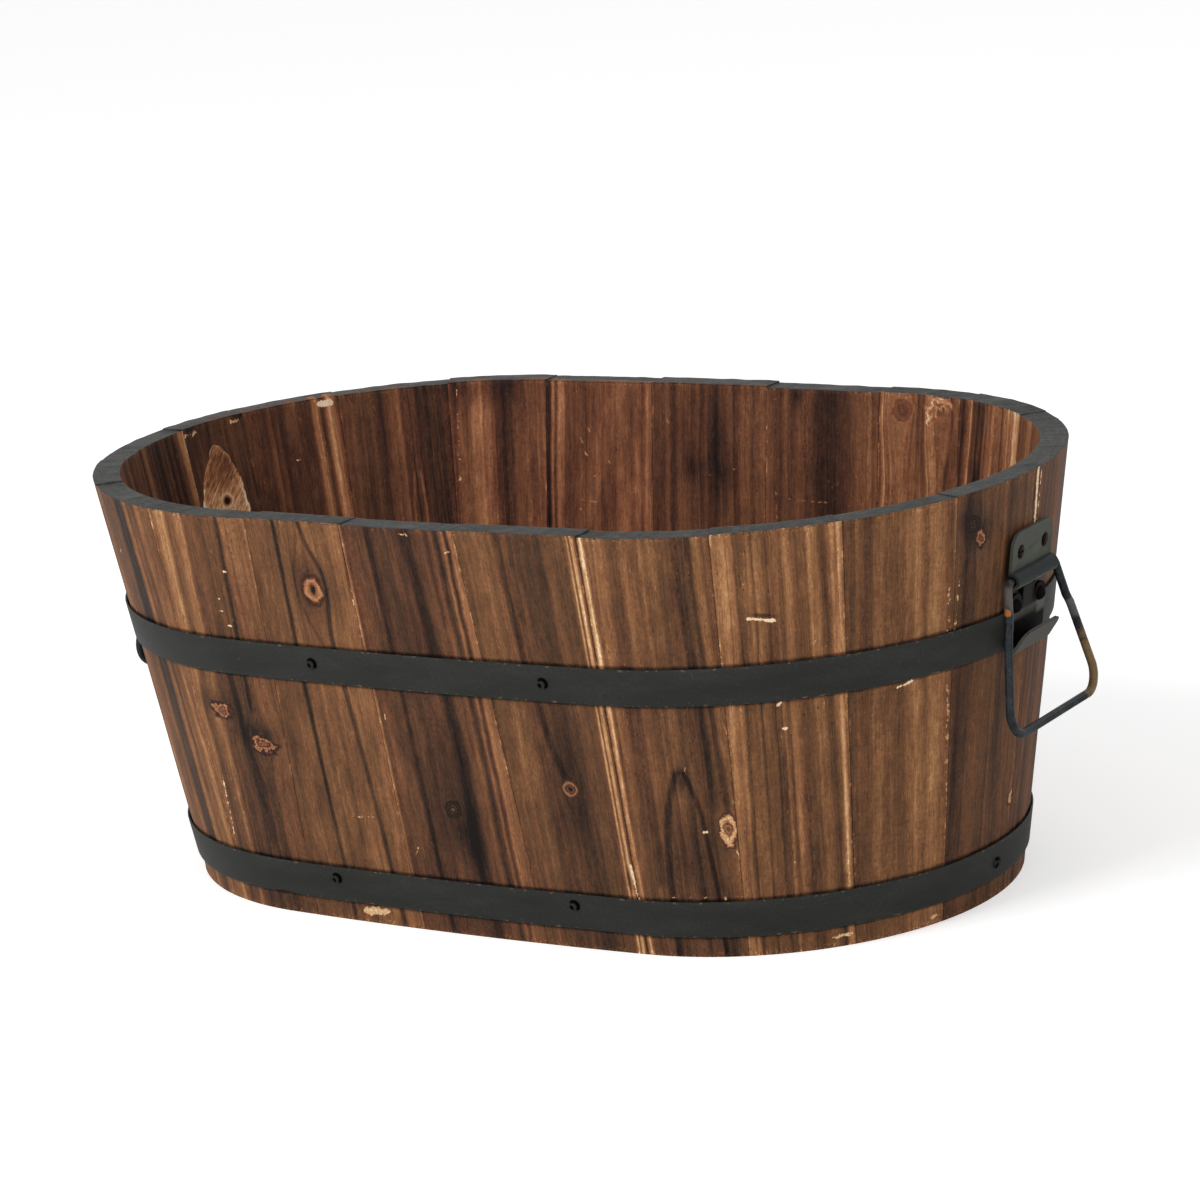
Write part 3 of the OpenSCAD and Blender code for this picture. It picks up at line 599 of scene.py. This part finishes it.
# Single dark lines of grain that follow their own course
def drawnLines(paint, tone, line, across, up, seed, look):
    broken = paint.noise(line / 1.1, up / 7, seed, 3.0, 0.6)
    for course, half, strength, low, high in look["lines"]:
        stops = {z / boardTop: (x + 50) / 100 for z, x in course.items()}
        middle = paint.shades(up / boardTop, stops, "B_SPLINE") * 100 - 50
        away = abs((across * 2 + line) / 3 - middle)
        edge = paint.fall(away + (broken - 0.5) * 1.6, 0.3 * half, 1.6 * half)
        edge = edge * paint.step(up, low - 4, low + 4) * paint.fall(up, high - 3, high + 2)
        tone -= strength * edge * (0.5 + broken)
    return tone


# How a knot is drawn: its tones outwards from the middle, in hundredths both, how ragged it is, its grit
# and how much redder it is
knotKinds = {
    "ring": ({0: 2, 10: 10, 20: 44, 34: 62, 50: 76, 62: 64, 70: 30, 80: 14, 90: 20, 100: 42}, .9, .5, .5),
    "eye": ({0: 30, 10: 4, 22: 10, 32: 46, 42: 22, 54: 60, 66: 64, 76: 30, 90: 20, 100: 40}, .7, .4, .2),
    "red": ({0: 44, 14: 60, 26: 20, 40: 64, 52: 70, 62: 22, 74: 12, 100: 26}, 1.7, .8, .8),
    "pale": ({0: 40, 14: 70, 26: 40, 40: 74, 54: 90, 66: 78, 78: 20, 88: 20, 100: 40}, 1.2, .6, .1),
    "worn": ({0: 60, 15: 40, 30: 80, 50: 55, 70: 100, 84: 80, 100: 50}, 1.3, .6, .8),
    "faint": ({0: 50, 20: 36, 40: 52, 60: 46, 75: 66, 90: 56, 100: 44}, 1.2, .3, .4),
    "hole": ({0: 0, 30: 2, 40: 50, 70: 95, 100: 80}, .5, .3, -.1),
    "dark": ({0: 46, 10: 40, 18: 4, 32: 30, 44: 2, 58: 20, 72: 2, 100: 24}, 1.2, .3, -.5),
}


def knotMarks(paint, tone, red, across, up, seed, look):
    for x, z, wide, tall, kind in look["knots"]:
        tones, ragged, grit, redder = knotKinds[kind]
        wobble = (paint.noise(across / 5 + seed, up / 5, z * 0.1, 3.0, 0.6) - 0.5) * ragged
        aside = (across - x) / wide
        above = (up - z) / tall
        reach = paint.reach(aside, above) + wobble
        grain = (paint.noise(across / 0.9, up / 0.9, seed, 2.0, 0.6) - 0.5) * grit
        profile = paint.shades(reach / 1.25, {place / 100: level / 100 for place, level in tones.items()})
        cover = paint.fall(reach, 0.85, 1.2)
        if kind == "worn":  # only its worn crown shows, as a bright arc
            cover *= paint.step(above + 0.7 * aside, -0.3, 0.3)
        tone += (profile + grain - tone) * cover
        red += cover * redder
    return tone, red


# A pale cathedral patch with a fine hatch
def heartMarks(paint, tone, red, across, up, seed, look):
    for x, apex, half, depth in look["hearts"]:
        sway = (paint.noise(across / 9 + seed, up / 14, seed, 4.0, 0.6) - 0.5) * half * 0.6
        below = paint.maths("MAXIMUM", (apex - up) / depth, 0.0001)
        middle = x + 0.08 * (apex - up)
        within = below ** 0.5 - abs(across + sway - middle) / half
        within -= 6 * paint.fall(up, 120, 178)  # and its rounded foot
        hatch = paint.noise((across + up) / 1.7, (across - up) / 9, seed, 4.0, 0.65) - 0.5
        rim = paint.step(within, 0.0, 0.06) * paint.fall(within, 0.08, 0.24)
        pale = 0.55 + 1.2 * hatch + 0.2 * rim + 0.28 * paint.step(below, 0.6, 1.3)
        cover = paint.step(within, 0.0, 0.05)
        tone += (pale - tone) * cover
        red += 0.2 * cover
    return tone, red


def edgeStreaks(paint, tone, across, joint, look):
    for side, way in (("left", -1), ("right", 1)):
        if look[side]:
            stops = {place / edgeSpan: 0.5 + change / 100 for place, change in look[side].items()}
            near = paint.step(across * way, 8, 12)
            tone += (paint.shades(joint / edgeSpan, stops) - 0.5) * near
    return tone


def bareChips(paint, tone, across, up, seed, look):
    ragged = paint.noise(across / 1.2, up / 1.6, seed, 3.0, 0.6) - 0.5
    gone = paint.noise(across / 3, up / 3, seed, 2.0, 0.6) - 0.5
    for x, z, length, thick, degrees, broken in look["chips"]:
        tilt = math.radians(degrees)
        along = (across - x) * math.cos(tilt) + (up - z) * math.sin(tilt)
        off = (up - z) * math.cos(tilt) - (across - x) * math.sin(tilt)
        past = paint.maths("MAXIMUM", abs(along) - length / 2, 0)
        inset = thick / 2 - abs(off) + ragged * 2.2 - past * 0.9
        cover = paint.step(inset + gone * 6 * broken - 0.5 * broken, -0.1, 0.55)
        tone += (look["bare"] - 0.14 * broken + ragged * 0.4 - tone) * cover
        if length > 10 and thick > 2:  # a chip throws a thin shadow line above itself
            under = paint.step(off, 0.2 * thick, 1.1 * thick) * paint.fall(abs(along), 0, length / 2 + 2)
            tone -= 0.3 * under * paint.fall(off, 1.1 * thick, 1.8 * thick)
    return tone


def woodMaterial(number):
    look = {**plainGrain, **boardGrain.get(number, {})}
    seed = 3.7 + number * 11.3
    paint = Paint("stave%02dWood" % (number + 1))
    across, up, into = paint.layer("board")
    joint = paint.node("Attribute", {"attribute_name": "joint"}, output="Fac")
    line = grainLine(paint, across, up, into, seed, look)
    rings = growthRings(paint, line, up, into, seed, look)
    # the grain between the rings, from broad bands to single fibres
    broad = paint.noise(line / 10 + seed, up / 420, into / 60, 1.0) - 0.5
    threads = paint.noise(line / 1.5 + seed, up / 120, into / 12, 3.0, 0.62) - 0.5
    fibres = paint.noise(line / 0.8, up / 14, into / 4, 2.0, 0.65) - 0.5
    grit = paint.noise(line / 0.75, up / 2.4, into / 2, 2.0, 0.7) - 0.5
    clouds = paint.noise(line / 14 + seed, up / 60, into / 20, 3.0, 0.6) - 0.5
    ripple = paint.noise(across / 6 + seed, up / 1.9, into / 9, 3.0, 0.7) - 0.5
    tone = look["tone"] + look["foot"] * (1 - up / boardTop) + look["contrast"] * (rings + 0.34 * broad)
    tone = tone + 0.24 * threads + 0.3 * look["bold"] * clouds + 0.22 * fibres + 0.27 * grit
    patches = paint.noise(line / 2.8, up / 9, into / 8 + seed, 3.0, 0.65)
    tone += 0.26 * (patches - 0.5)
    torn = paint.step(patches, 0.32, 0.66, 0.5, 1.35)
    tone += 2 * look["ripple"] * ripple
    if look["streaks"]:
        whole = 2 * streakSpan
        streaks = look["streaks"].items()
        stops = {(place + streakSpan) / whole: 0.5 + look["bold"] * (change / 100) for place, change in streaks}
        change = paint.shades((line + 0.8 * threads + streakSpan) / whole, stops) - 0.5
        tone += change * (0.66 + up / 680)  # plainer towards the foot
    tone = edgeStreaks(paint, tone, across, joint, look)
    # pale flecks where the brush caught the grain, along a few lines and along worn edges
    lines = paint.step(paint.noise(line / 3 + seed, up / 90, into / 18), 0.52, 0.64)
    flecks = paint.step(paint.noise(line / 1.3, up / 3.2, into / 3, 3.0, 0.7), 0.58, 0.72)
    pits = paint.step(paint.noise(line / 0.9 + 40, up / 3.2, into / 3, 2.0, 0.65), 0.6, 0.7)
    tone = tone + look["flecks"] * (0.2 * flecks - 0.18 * pits) * lines - 0.08 * pits
    for shelf in (upperMiddle, lowerMiddle):  # painted shade along the hoops' edges, where the hoops shadow the wood
        reach = abs(up - shelf / mm) + ripple * 1.2
        tone -= 0.22 * paint.fall(reach, 10.4, 12.0) * paint.fall(into, 1, 3)
    worn = paint.noise(seed, up / 9, across / 30, 4.0, 0.7)
    bare = paint.fall(joint, 0.3, 1.5) * paint.step(worn, 0.52, 0.66)
    crumbs = paint.noise(across / 1.3, up / 1.6, into / 1.6, 2.0, 0.6)
    top = tubHeight / mm - staveForm["rimDrop"][number]
    nearRim = paint.step(up, top - 3.0, top - 0.8) * paint.step(crumbs, 0.54, 0.66)
    nearFoot = paint.fall(up, 0.8, 3.5) * paint.step(crumbs, 0.5, 0.64)
    tone += (0.22 * bare + 0.15 * nearRim + 0.22 * nearFoot) * (0.6 + crumbs)
    hue = paint.noise(line / 7 + seed * 2, up / 260, into / 12)
    inner = paint.step(into, 6, 9)
    red = look["red"] + 1.5 * (hue - 0.5) + 0.2 * inner
    facing = inner if number in markedInside else 1 - inner
    plain, plainRed = tone, red
    for x, z, wide, tall, strength in look["smudges"]:
        tone -= strength * paint.glow((across - x) / wide, (up - z) / tall) * torn
    tone = drawnLines(paint, tone, line, across, up, seed, look)
    tone, red = heartMarks(paint, tone, red, across, up, seed, look)
    tone, red = knotMarks(paint, tone, red, across, up, seed, look)
    tone = bareChips(paint, tone, across, up, seed, look)
    tone = plain + (tone - plain) * facing
    red = plainRed + (red - plainRed) * facing
    tone -= 0.16 * paint.fall(joint, 0.0, 0.4)
    # dark stain on the rim, which also runs a little over its edges
    ragged = paint.noise(across / 2.4 + seed, up / 2, into / 2, 4.0, 0.65) - 0.5
    inset = paint.maths("MINIMUM", into, tub["wall"] / mm - into)
    stained = paint.step(up + ragged * 1.4, top - 1.3, top - 0.7)
    stained *= paint.step(inset + ragged * 1.6, -0.1, 0.4)
    if look["stain"] < plainGrain["stain"]:  # the inner part of the rim is bare
        stained *= paint.fall(into + ragged * 2, look["stain"] - 0.5, look["stain"] + 0.5)
        rimmed = paint.step(up, top - 1, top - 0.5)
        tone -= 0.14 * rimmed
        red -= 0.5 * rimmed
    red = paint.node("Clamp", None, {0: red})
    colour = paint.over(red, paint.shades(tone, tanStops), paint.shades(tone, redStops))
    speck = paint.noise(across / 6, seed, into / 1.6, 4.0, 0.65)
    stain = paint.shades(speck, {0.3: "282928", 0.5: "353634", 0.7: "454441"})
    colour = paint.over(stained, colour, stain)
    height = look["contrast"] * rings + 0.7 * threads + 0.7 * fibres + 0.7 * grit + 3 * look["ripple"] * ripple
    normal = paint.bump(height, 0.4 * mm, 0.8)
    rough = paint.step(tone, 0.1, 0.9, 0.5, 0.7)
    return paint.finish(colour, rough, normal, 0.1)


for number in range(staveForm["count"]):
    makeStave(number, woodMaterial(number))
print("staves made")


# Base boards, seen from above and from below

boardForm = {
    "round": 0.8 * mm,
    "tone": 0.4,
    "pitch": 112.3,     # from one board to the next, in millimetres
}


def copyOf(node):  # a merged copy of a node's mesh, with flat areas as single faces
    bm = bmesh.new()
    bm.from_mesh(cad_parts[node].data)
    bmesh.ops.remove_doubles(bm, verts=bm.verts, dist=closeBy)
    flat = math.radians(0.5)
    bmesh.ops.dissolve_limit(
        bm, angle_limit=flat, verts=bm.verts, edges=bm.edges, use_dissolve_boundaries=False,
    )
    return bm


def baseMaterial():
    paint = Paint("baseWood")
    x, y, z = paint.split(paint.node("TexCoord", None, None, "Object"))
    along, across, deep = x / mm, y / mm, z / mm
    plank = paint.maths("FLOOR", across / boardForm["pitch"] + 0.5)
    line = across + 4 * (paint.noise(along / 90, across / 40, plank) - 0.5)
    bands = paint.noise(along / 300 + plank * 3, line / 4, deep / 20) - 0.5
    threads = paint.noise(along / 80, line / 1.1, deep / 10, 3.0, 0.6) - 0.5
    tone = boardForm["tone"] + 0.7 * bands + 0.34 * threads
    colour = paint.shades(tone, redStops)
    normal = paint.bump(tone + threads, 0.3 * mm, 0.5)
    return paint.finish(colour, 0.68, normal, 0.25)


baseWood = baseMaterial()
for place in ("front", "middle", "rear"):
    bm = copyOf("base_board_" + place)
    easeEdges(bm, boardForm["round"])
    finishPiece(bm, baseWood, "base_board_" + place)
print("base boards made")


# Hoops: one strip each, with its ends lapped at the back

hoopForm = {
    "width": 20 * mm,
    "thick": 1.2 * mm,
    "gap": 0.25 * mm,
    "lap": 44 * mm,
    "joggle": 9 * mm,       # how far the outer end takes to climb over the inner one
    "round": 0.45 * mm,
    "segments": 560,
    "sway": 0.25 * mm,      # how far it wanders up and down
    "uneven": 0.15 * mm,    # and in and out
}
backMiddle = quarter + sideRun / 2


def hoopMaterial(side, seed):
    paint = Paint(side + "HoopSteel")
    along, across, out = paint.layer("strip")
    broad = paint.noise(along / 45 + seed, across / 12, out, 3.0, 0.55)
    fine = paint.noise(along / 1.6 + seed, across / 1.6, out, 3.0, 0.6)
    edge = hoopForm["width"] / mm / 2 - abs(across)
    chipped = paint.noise(along / 3.5 + seed, across / 2.5, out, 3.0, 0.65)
    worn = paint.fall(edge, 0.3, 1.4) * paint.step(chipped, 0.56, 0.68)
    base = paint.shades(broad * 0.6 + fine * 0.4, {0.3: "1c1d1b", 0.5: "252623", 0.7: "30322e"})
    dust = paint.step(paint.noise(along / 2.2, across / 2.2, seed, 2.0, 0.7), 0.66, 0.78)
    base = paint.over(dust * 0.22, base, "6f6a60")
    colour = paint.over(worn * 0.75, base, "7d6a55")
    rough = 0.42 + 0.2 * broad + 0.1 * fine
    normal = paint.bump(fine + 3 * broad, 0.12 * mm, 0.35)
    return paint.finish(colour, rough, normal, 0.22)


def makeHoop(side, middle, dents, seed):
    run = rimRun + hoopForm["lap"]
    half = hoopForm["width"] / 2
    low, high = Vector((0, 0, -half)), Vector((run, hoopForm["thick"], half))
    bm = blockOf(low, high, (hoopForm["segments"], 0, 7))
    easeEdges(bm, hoopForm["round"])
    strip = bm.verts.layers.float_vector.new("strip")
    for v in bm.verts:
        x, y, z = v.co
        v[strip] = (x / mm, z / mm, y / mm)
        climb = (x - (rimRun - hoopForm["joggle"])) / hoopForm["joggle"]
        climb = min(1.0, max(0.0, climb))
        lift = hoopForm["gap"] + climb * climb * (3 - 2 * climb) * (hoopForm["thick"] + 0.1 * mm)
        sway = hoopForm["sway"] * noise.noise((x / (60 * mm), seed, 0))
        along = backMiddle - hoopForm["lap"] / 2 + x
        for place, size, depth in dents:  # in the lower edge
            if z < 0:
                sway += depth * math.exp(-((along - place) / size) ** 2) * (-z / half)
        lift += hoopForm["uneven"] * (noise.noise((x / (35 * mm), z / (14 * mm), seed)) + 0.5)
        v.co = wallPlace(along, middle + z + sway, -lift - y)
    finishPiece(bm, hoopMaterial(side, seed), side + "_hoop")


makeHoop("upper", upperMiddle, [], 2.3)
dent = (jointAt(15, 15 * mm) - 22 * mm, 7 * mm, 1.4 * mm)    # place along the rim, half width, depth
makeHoop("lower", lowerMiddle, [dent], 8.9)
print("hoops made")


# Nails: a low round head, with a painted shadow crescent and a painted shade pit, both black

nailForm = {
    "headWidth": 6.5 * mm,
    "headHeight": 1.2 * mm,
    "shank": 2.4 * mm,
    "grip": {"upper": 11 * mm, "lower": 24 * mm},
    # board, share of the way across it, height over the hoop's middle in millimetres
    "upper": [(15, .42, 1.2), (17, .53, .4), (3, .5, 0), (8, .45, 1)],
    "lower": [(15, .17, 3.6), (17, .45, 3.8), (21, .76, -1), (2, .5, 0), (8, .5, -1), (11, .3, 0)],
}


def lathe(points, steps=36):  # turns (radius, height) points about Z
    bm = bmesh.new()
    verts = [bm.verts.new((r, 0, h)) for r, h in points]
    edges = [bm.edges.new(pair) for pair in zip(verts, verts[1:])]
    bmesh.ops.spin(
        bm, geom=verts + edges, cent=(0, 0, 0), axis=(0, 0, 1), angle=2 * math.pi,
        steps=steps, use_merge=True,
    )
    bmesh.ops.remove_doubles(bm, verts=bm.verts, dist=closeBy)
    bmesh.ops.recalc_face_normals(bm, faces=bm.faces)
    return bm


def addTo(bm, part, matrix):  # puts a part into a piece at a place
    part.transform(matrix)
    mesh = bpy.data.meshes.new("part")
    part.to_mesh(mesh)
    part.free()
    bm.from_mesh(mesh)
    bpy.data.meshes.remove(mesh)


def nailPart(depth):
    r, h, s = nailForm["headWidth"] / 2, nailForm["headHeight"], nailForm["shank"] / 2
    points = [
        (0, h), (r * 0.4, h * 0.96), (r * 0.7, h * 0.82), (r * 0.88, h * 0.6), (r * 0.98, h * 0.3),
        (r, 0.05 * mm), (r * 0.96, 0), (s, 0), (s, -depth + s), (0, -depth),
    ]
    return lathe(points)


def nailMaterial():
    paint = Paint("nailSteel")
    right, rise, out = paint.layer("head")
    fine = paint.noise(right / 0.8, rise / 0.8, out, 3.0, 0.6)
    steel = paint.shades(fine, {0.3: "262725", 0.7: "373935"})
    ragged = 0.5 * (fine - 0.5)
    reach = paint.reach(right, rise) + ragged
    turned = 0.75 * right + 0.66 * rise  # painted shadow: a black crescent round the upper right
    shadowCrescent = paint.step(reach, 1.5, 2.1) * paint.step(turned + ragged, -0.9, 0.4)
    shadePit = paint.fall(paint.reach(right + 1.3, rise + 0.8) + ragged, 1.1, 1.7)  # and painted shade: a black pit on the left
    colour = paint.over(paint.maths("MAXIMUM", shadowCrescent, shadePit), steel, "020202")
    return paint.finish(colour, 0.6 + 0.2 * fine, gloss=0.03)


def makeNails(side, middle):
    bm = bmesh.new()
    places = []
    for number, share, height in nailForm[side]:
        left, right = jointAt(number, tubHeight), jointAt(number + 1, tubHeight)
        places.append((left * (1 - share) + right * share, middle + height * mm, 1))
    for way in (-1, 1):  # two hold the lap
        places.append((backMiddle + way * hoopForm["lap"] / 4, middle, 2))
    spikes = []
    for along, up, layers in places:
        lift = (hoopForm["gap"] + layers * hoopForm["thick"] + 0.2 * mm) * math.cos(slant)
        spikes.append(wallFrame(along, up) @ Matrix.Translation((0, 0, lift)))
        addTo(bm, nailPart(nailForm["grip"][side]), spikes[-1])
    head = bm.verts.layers.float_vector.new("head")
    backs = [spike.inverted() for spike in spikes]
    for v in bm.verts:  # place on the nearest nail's head, in millimetres
        v[head] = min((back @ v.co for back in backs), key=lambda p: p.xy.length) / mm
    finishPiece(bm, nailSteel, side + "_hoop_nails")


nailSteel = nailMaterial()
makeNails("upper", upperMiddle)
makeNails("lower", lowerMiddle)
print("nails made")


# Brackets, screws and bails

fitting = {
    "hinge": tubHeight - 53.2 * mm,   # height of the hinge line at the wall
    "screwStep": 27,                  # millimetres, as are the rest
    "upperScrews": 14,
}


# A merged copy, with each point's place in millimetres: across, up the wall and out of it
def onFitting(node, side):
    bm = copyOf(node)
    place = bm.verts.layers.float_vector.new("fitting")
    back = wallFrame(0 if side == "right" else rimRun / 2, fitting["hinge"]).inverted()
    for v in bm.verts:
        v[place] = back @ v.co / mm
    return bm


def bracketMaterial():
    paint = Paint("bracketSteel")
    across, up, out = paint.layer("fitting")
    broad = paint.noise(across / 7, up / 5, out / 5, 4.0, 0.65)
    fine = paint.noise(across / 0.8, up / 0.8, out / 0.8, 3.0, 0.65)
    # The near-black stops below the fold and above the lip are painted shade. The pale band from -4.4 to -2.4
    # along the channel's lower edge is a painted highlight, and the darker band over the channel is painted
    # reflection.
    course = {  # paint up the bracket, from its lip to the top of its plate
        -42: "3c3c38", -37: "060505", -24: "080606", -22: "3c3b37", -19: "4a4944", -17.5: "0e0b0a",
        -9: "070505", -5.2: "060404", -4.4: "565852", -2.4: "545650", -1.2: "2e3231", 3: "2b3030",
        4.4: "363937", 5.4: "464942", 9: "4b4d45", 26: "4e504a",
    }
    low, tall = min(course), max(course) - min(course)
    stops = {(v - low) / tall: code for v, code in course.items()}
    body = paint.shades((up - low + 2.4 * (broad - 0.5)) / tall, stops)
    # lighter on the middle tongue: painted light, where the painted shade under the fold is lifted
    strip = paint.fall(abs(across) + 6 * (broad - 0.5), 3, 7) * paint.step(up, -22, -20) * paint.fall(up, -6, -5)
    body = paint.over(0.34 * strip, body, "3d3b37")
    # painted highlight: a light grey strip down the right edge of the lower flange
    worn = paint.step(across + 5 * (broad - 0.5), 9, 13) * paint.step(up, -26, -23) * paint.fall(up, -19, -17)
    body = paint.over(0.7 * worn, body, "6f6c66")
    lip = paint.step(out, 4.0, 5.0) * paint.fall(up, -21, -19)
    body = paint.over(lip, body, "52504b")
    # painted shade: black round the sunk screws, in their recesses
    reach = paint.reach(abs(across) - fitting["screwStep"] / 2, up - fitting["upperScrews"])
    hole = paint.fall(reach + 1.2 * (broad - 0.5), 3.4, 4.2)
    body = paint.over(hole, body, "080606")
    body = paint.scaled(body, 0.55 + 0.6 * broad + 0.3 * fine)
    spots = paint.noise(across / 2.4, up / 2.4, out / 2.4, 4.0, 0.65)
    colour = paint.over(0.35 * paint.step(spots, 0.62, 0.74), body, "5f4330")
    normal = paint.bump(fine + 2 * broad, 0.12 * mm, 0.4)
    rough = 0.5 + 0.2 * (broad - 0.5)
    return paint.finish(colour, rough, normal, 0.06)


def screwMaterial():
    paint = Paint("screwSteel")
    across, up, out = paint.layer("fitting")
    fine = paint.noise(across / 1.2, up / 1.2, out / 1.2, 3.0, 0.65)
    # near-black heads: painted shade, as the screws sit in recesses and under the fold
    colour = paint.shades(fine, {0.35: "040303", 0.6: "0d0808", 0.75: "241613"})
    half = fitting["screwStep"] / 2
    # brown only on the right of each upper screw: rust and painted light
    rustAndPaintedLight = paint.step(across - half * paint.maths("SIGN", across) + fine, 1.0, 2.4) * paint.step(up, 0, 2)
    colour = paint.over(0.5 * rustAndPaintedLight, colour, "5a3c2c")
    return paint.finish(colour, 0.6 + 0.2 * fine, gloss=0.05)


def bailMaterial(side):
    paint = Paint(side + "BailSteel")
    across, up, out = paint.layer("fitting")
    broad = paint.noise(across / 6, up / 6, out / 6, 4.0, 0.65)
    fine = paint.noise(across / 1.1, up / 1.6, out / 1.1, 3.0, 0.65)
    colour = paint.shades(broad * 0.6 + fine * 0.4, {0.34: "0f1316", 0.5: "1d2226", 0.66: "363b3f"})
    for x, v, wide, tall, strength, code in bailLooks[side]:
        near = paint.glow((across - x) / wide, (up - v) / tall) * strength
        colour = paint.over(paint.step(near + 0.9 * (broad - 0.5), 0.3, 0.6), colour, code)
    colour = paint.scaled(colour, 0.6 + 0.8 * fine)
    normal = paint.bump(fine + 2 * broad, 0.15 * mm, 0.5)
    rough = 0.45 + 0.3 * (broad - 0.5)
    return paint.finish(colour, rough, normal, 0.2)


bailLooks = {  # rust and grey patches at (across, up, width, height, strength, colour)
    "right": [
        (47, -62, 16, 26, 1.0, "755e3e"), (-33.8, -12.4, 2.4, 2.1, 1.2, "a0642e"),
        (-28, -8, 6, 12, .8, "54504b"), (36, -26, 6, 8, .9, "5a5a58"),
    ],
    "left": [(-40, -60, 16, 14, .6, "5c4a34"), (28, -8, 6, 12, .8, "4c4946")],
}
bracketSteel = bracketMaterial()
screwSteel = screwMaterial()
for side in ("right", "left"):
    bail, bracket = side + "_bail", side + "_bracket"
    finishPiece(onFitting(bracket, side), bracketSteel, bracket, sharpAngle=35)
    finishPiece(onFitting(bracket + "_screws", side), screwSteel, bracket + "_screws")
    finishPiece(onFitting(bail, side), bailMaterial(side), bail, body=bail)
print("brackets and bails made")


# Floor, light and camera

studio = {
    "floorSize": 40.0,
    "key": {"place": (-0.9, -2.3, 2.3), "size": 1.4, "power": 52},
    "fill": {"place": (2.4, -1.2, 1.3), "size": 1.6, "power": 12},
    "sky": 0.55,
    "glow": 0.42,       # what the camera sees the floor shine with, so that it stays white
}


def makeFloor():
    bm = bmesh.new()
    bmesh.ops.create_grid(bm, x_segments=1, y_segments=1, size=studio["floorSize"] / 2)
    mesh = bpy.data.meshes.new("floor")
    bm.to_mesh(mesh)
    bm.free()
    paint = Paint("floorWhite")
    plain = Wire(paint, paint.surface.outputs[0])
    glow = paint.node("Emission", None, {0: grey(1.0), 1: studio["glow"]})
    seen = paint.node("LightPath", None, None, "Is Camera Ray")
    both = paint.node("AddShader", None, {0: plain, 1: glow})
    mixed = paint.node("MixShader", None, {0: seen, 1: plain, 2: both})
    paint.feed(paint.tree.nodes["Material Output"].inputs[0], mixed)
    mesh.materials.append(paint.finish(grey(0.9), 0.9))
    linked("floor", mesh)


def makeWorld():
    paint = Paint("studio", bpy.data.worlds)
    bpy.context.scene.world = paint.material
    light = paint.tree.nodes["Background"]
    paint.feed(light.inputs[0], grey(1.0))
    paint.feed(light.inputs[1], studio["sky"])
    seen = paint.node("Background", None, {0: grey(1.0), 1: 1.0})
    rays = [paint.node("LightPath", None, None, "Is %s Ray" % kind) for kind in ("Camera", "Glossy")]
    either = paint.maths("MAXIMUM", *rays)
    mixed = paint.node("MixShader", None, {0: either, 1: Wire(paint, light.outputs[0]), 2: seen})
    paint.feed(paint.tree.nodes["World Output"].inputs[0], mixed)


def makeLamp(name, spec):
    lamp = bpy.data.lights.new(name, "AREA")
    lamp.size = spec["size"]
    lamp.energy = spec["power"]
    place = Vector(spec["place"])
    aim = Vector((0, 0, tubHeight / 2)) - place
    turned = aim.to_track_quat("-Z", "Y").to_matrix().to_4x4()
    linked(name, lamp).matrix_world = Matrix.Translation(place) @ turned


cameraSpec = {
    "place": (1.19159, -1.79036, 0.68196),
    "yaw": 33.38,
    "pitch": 14.05,
    "roll": -5.113,
    "focus": 4059.5,     # focal length in pixels of a picture 1200 wide
    "frame": 1200,
}


def makeCamera():
    yaw, pitch, roll = (math.radians(cameraSpec[k]) for k in ("yaw", "pitch", "roll"))
    ahead = Vector((-math.sin(yaw) * math.cos(pitch), math.cos(yaw) * math.cos(pitch), -math.sin(pitch)))
    level = Vector((math.cos(yaw), math.sin(yaw), 0))
    rise = level.cross(ahead)
    right = math.cos(roll) * level + math.sin(roll) * rise
    top = -math.sin(roll) * level + math.cos(roll) * rise
    lens = bpy.data.cameras.new("camera")
    lens.sensor_width = 36
    lens.lens = cameraSpec["focus"] / cameraSpec["frame"] * lens.sensor_width
    lens.clip_start, lens.clip_end = 0.05, 50
    held = linked("camera", lens)
    turned = Matrix((right, top, -ahead)).transposed().to_4x4()
    held.matrix_world = Matrix.Translation(cameraSpec["place"]) @ turned
    bpy.context.scene.camera = held


makeFloor()
makeWorld()
makeLamp("keyLight", studio["key"])
makeLamp("fillLight", studio["fill"])
makeCamera()
bpy.context.scene.view_settings.view_transform = "Standard"
print("floor, light and camera made")
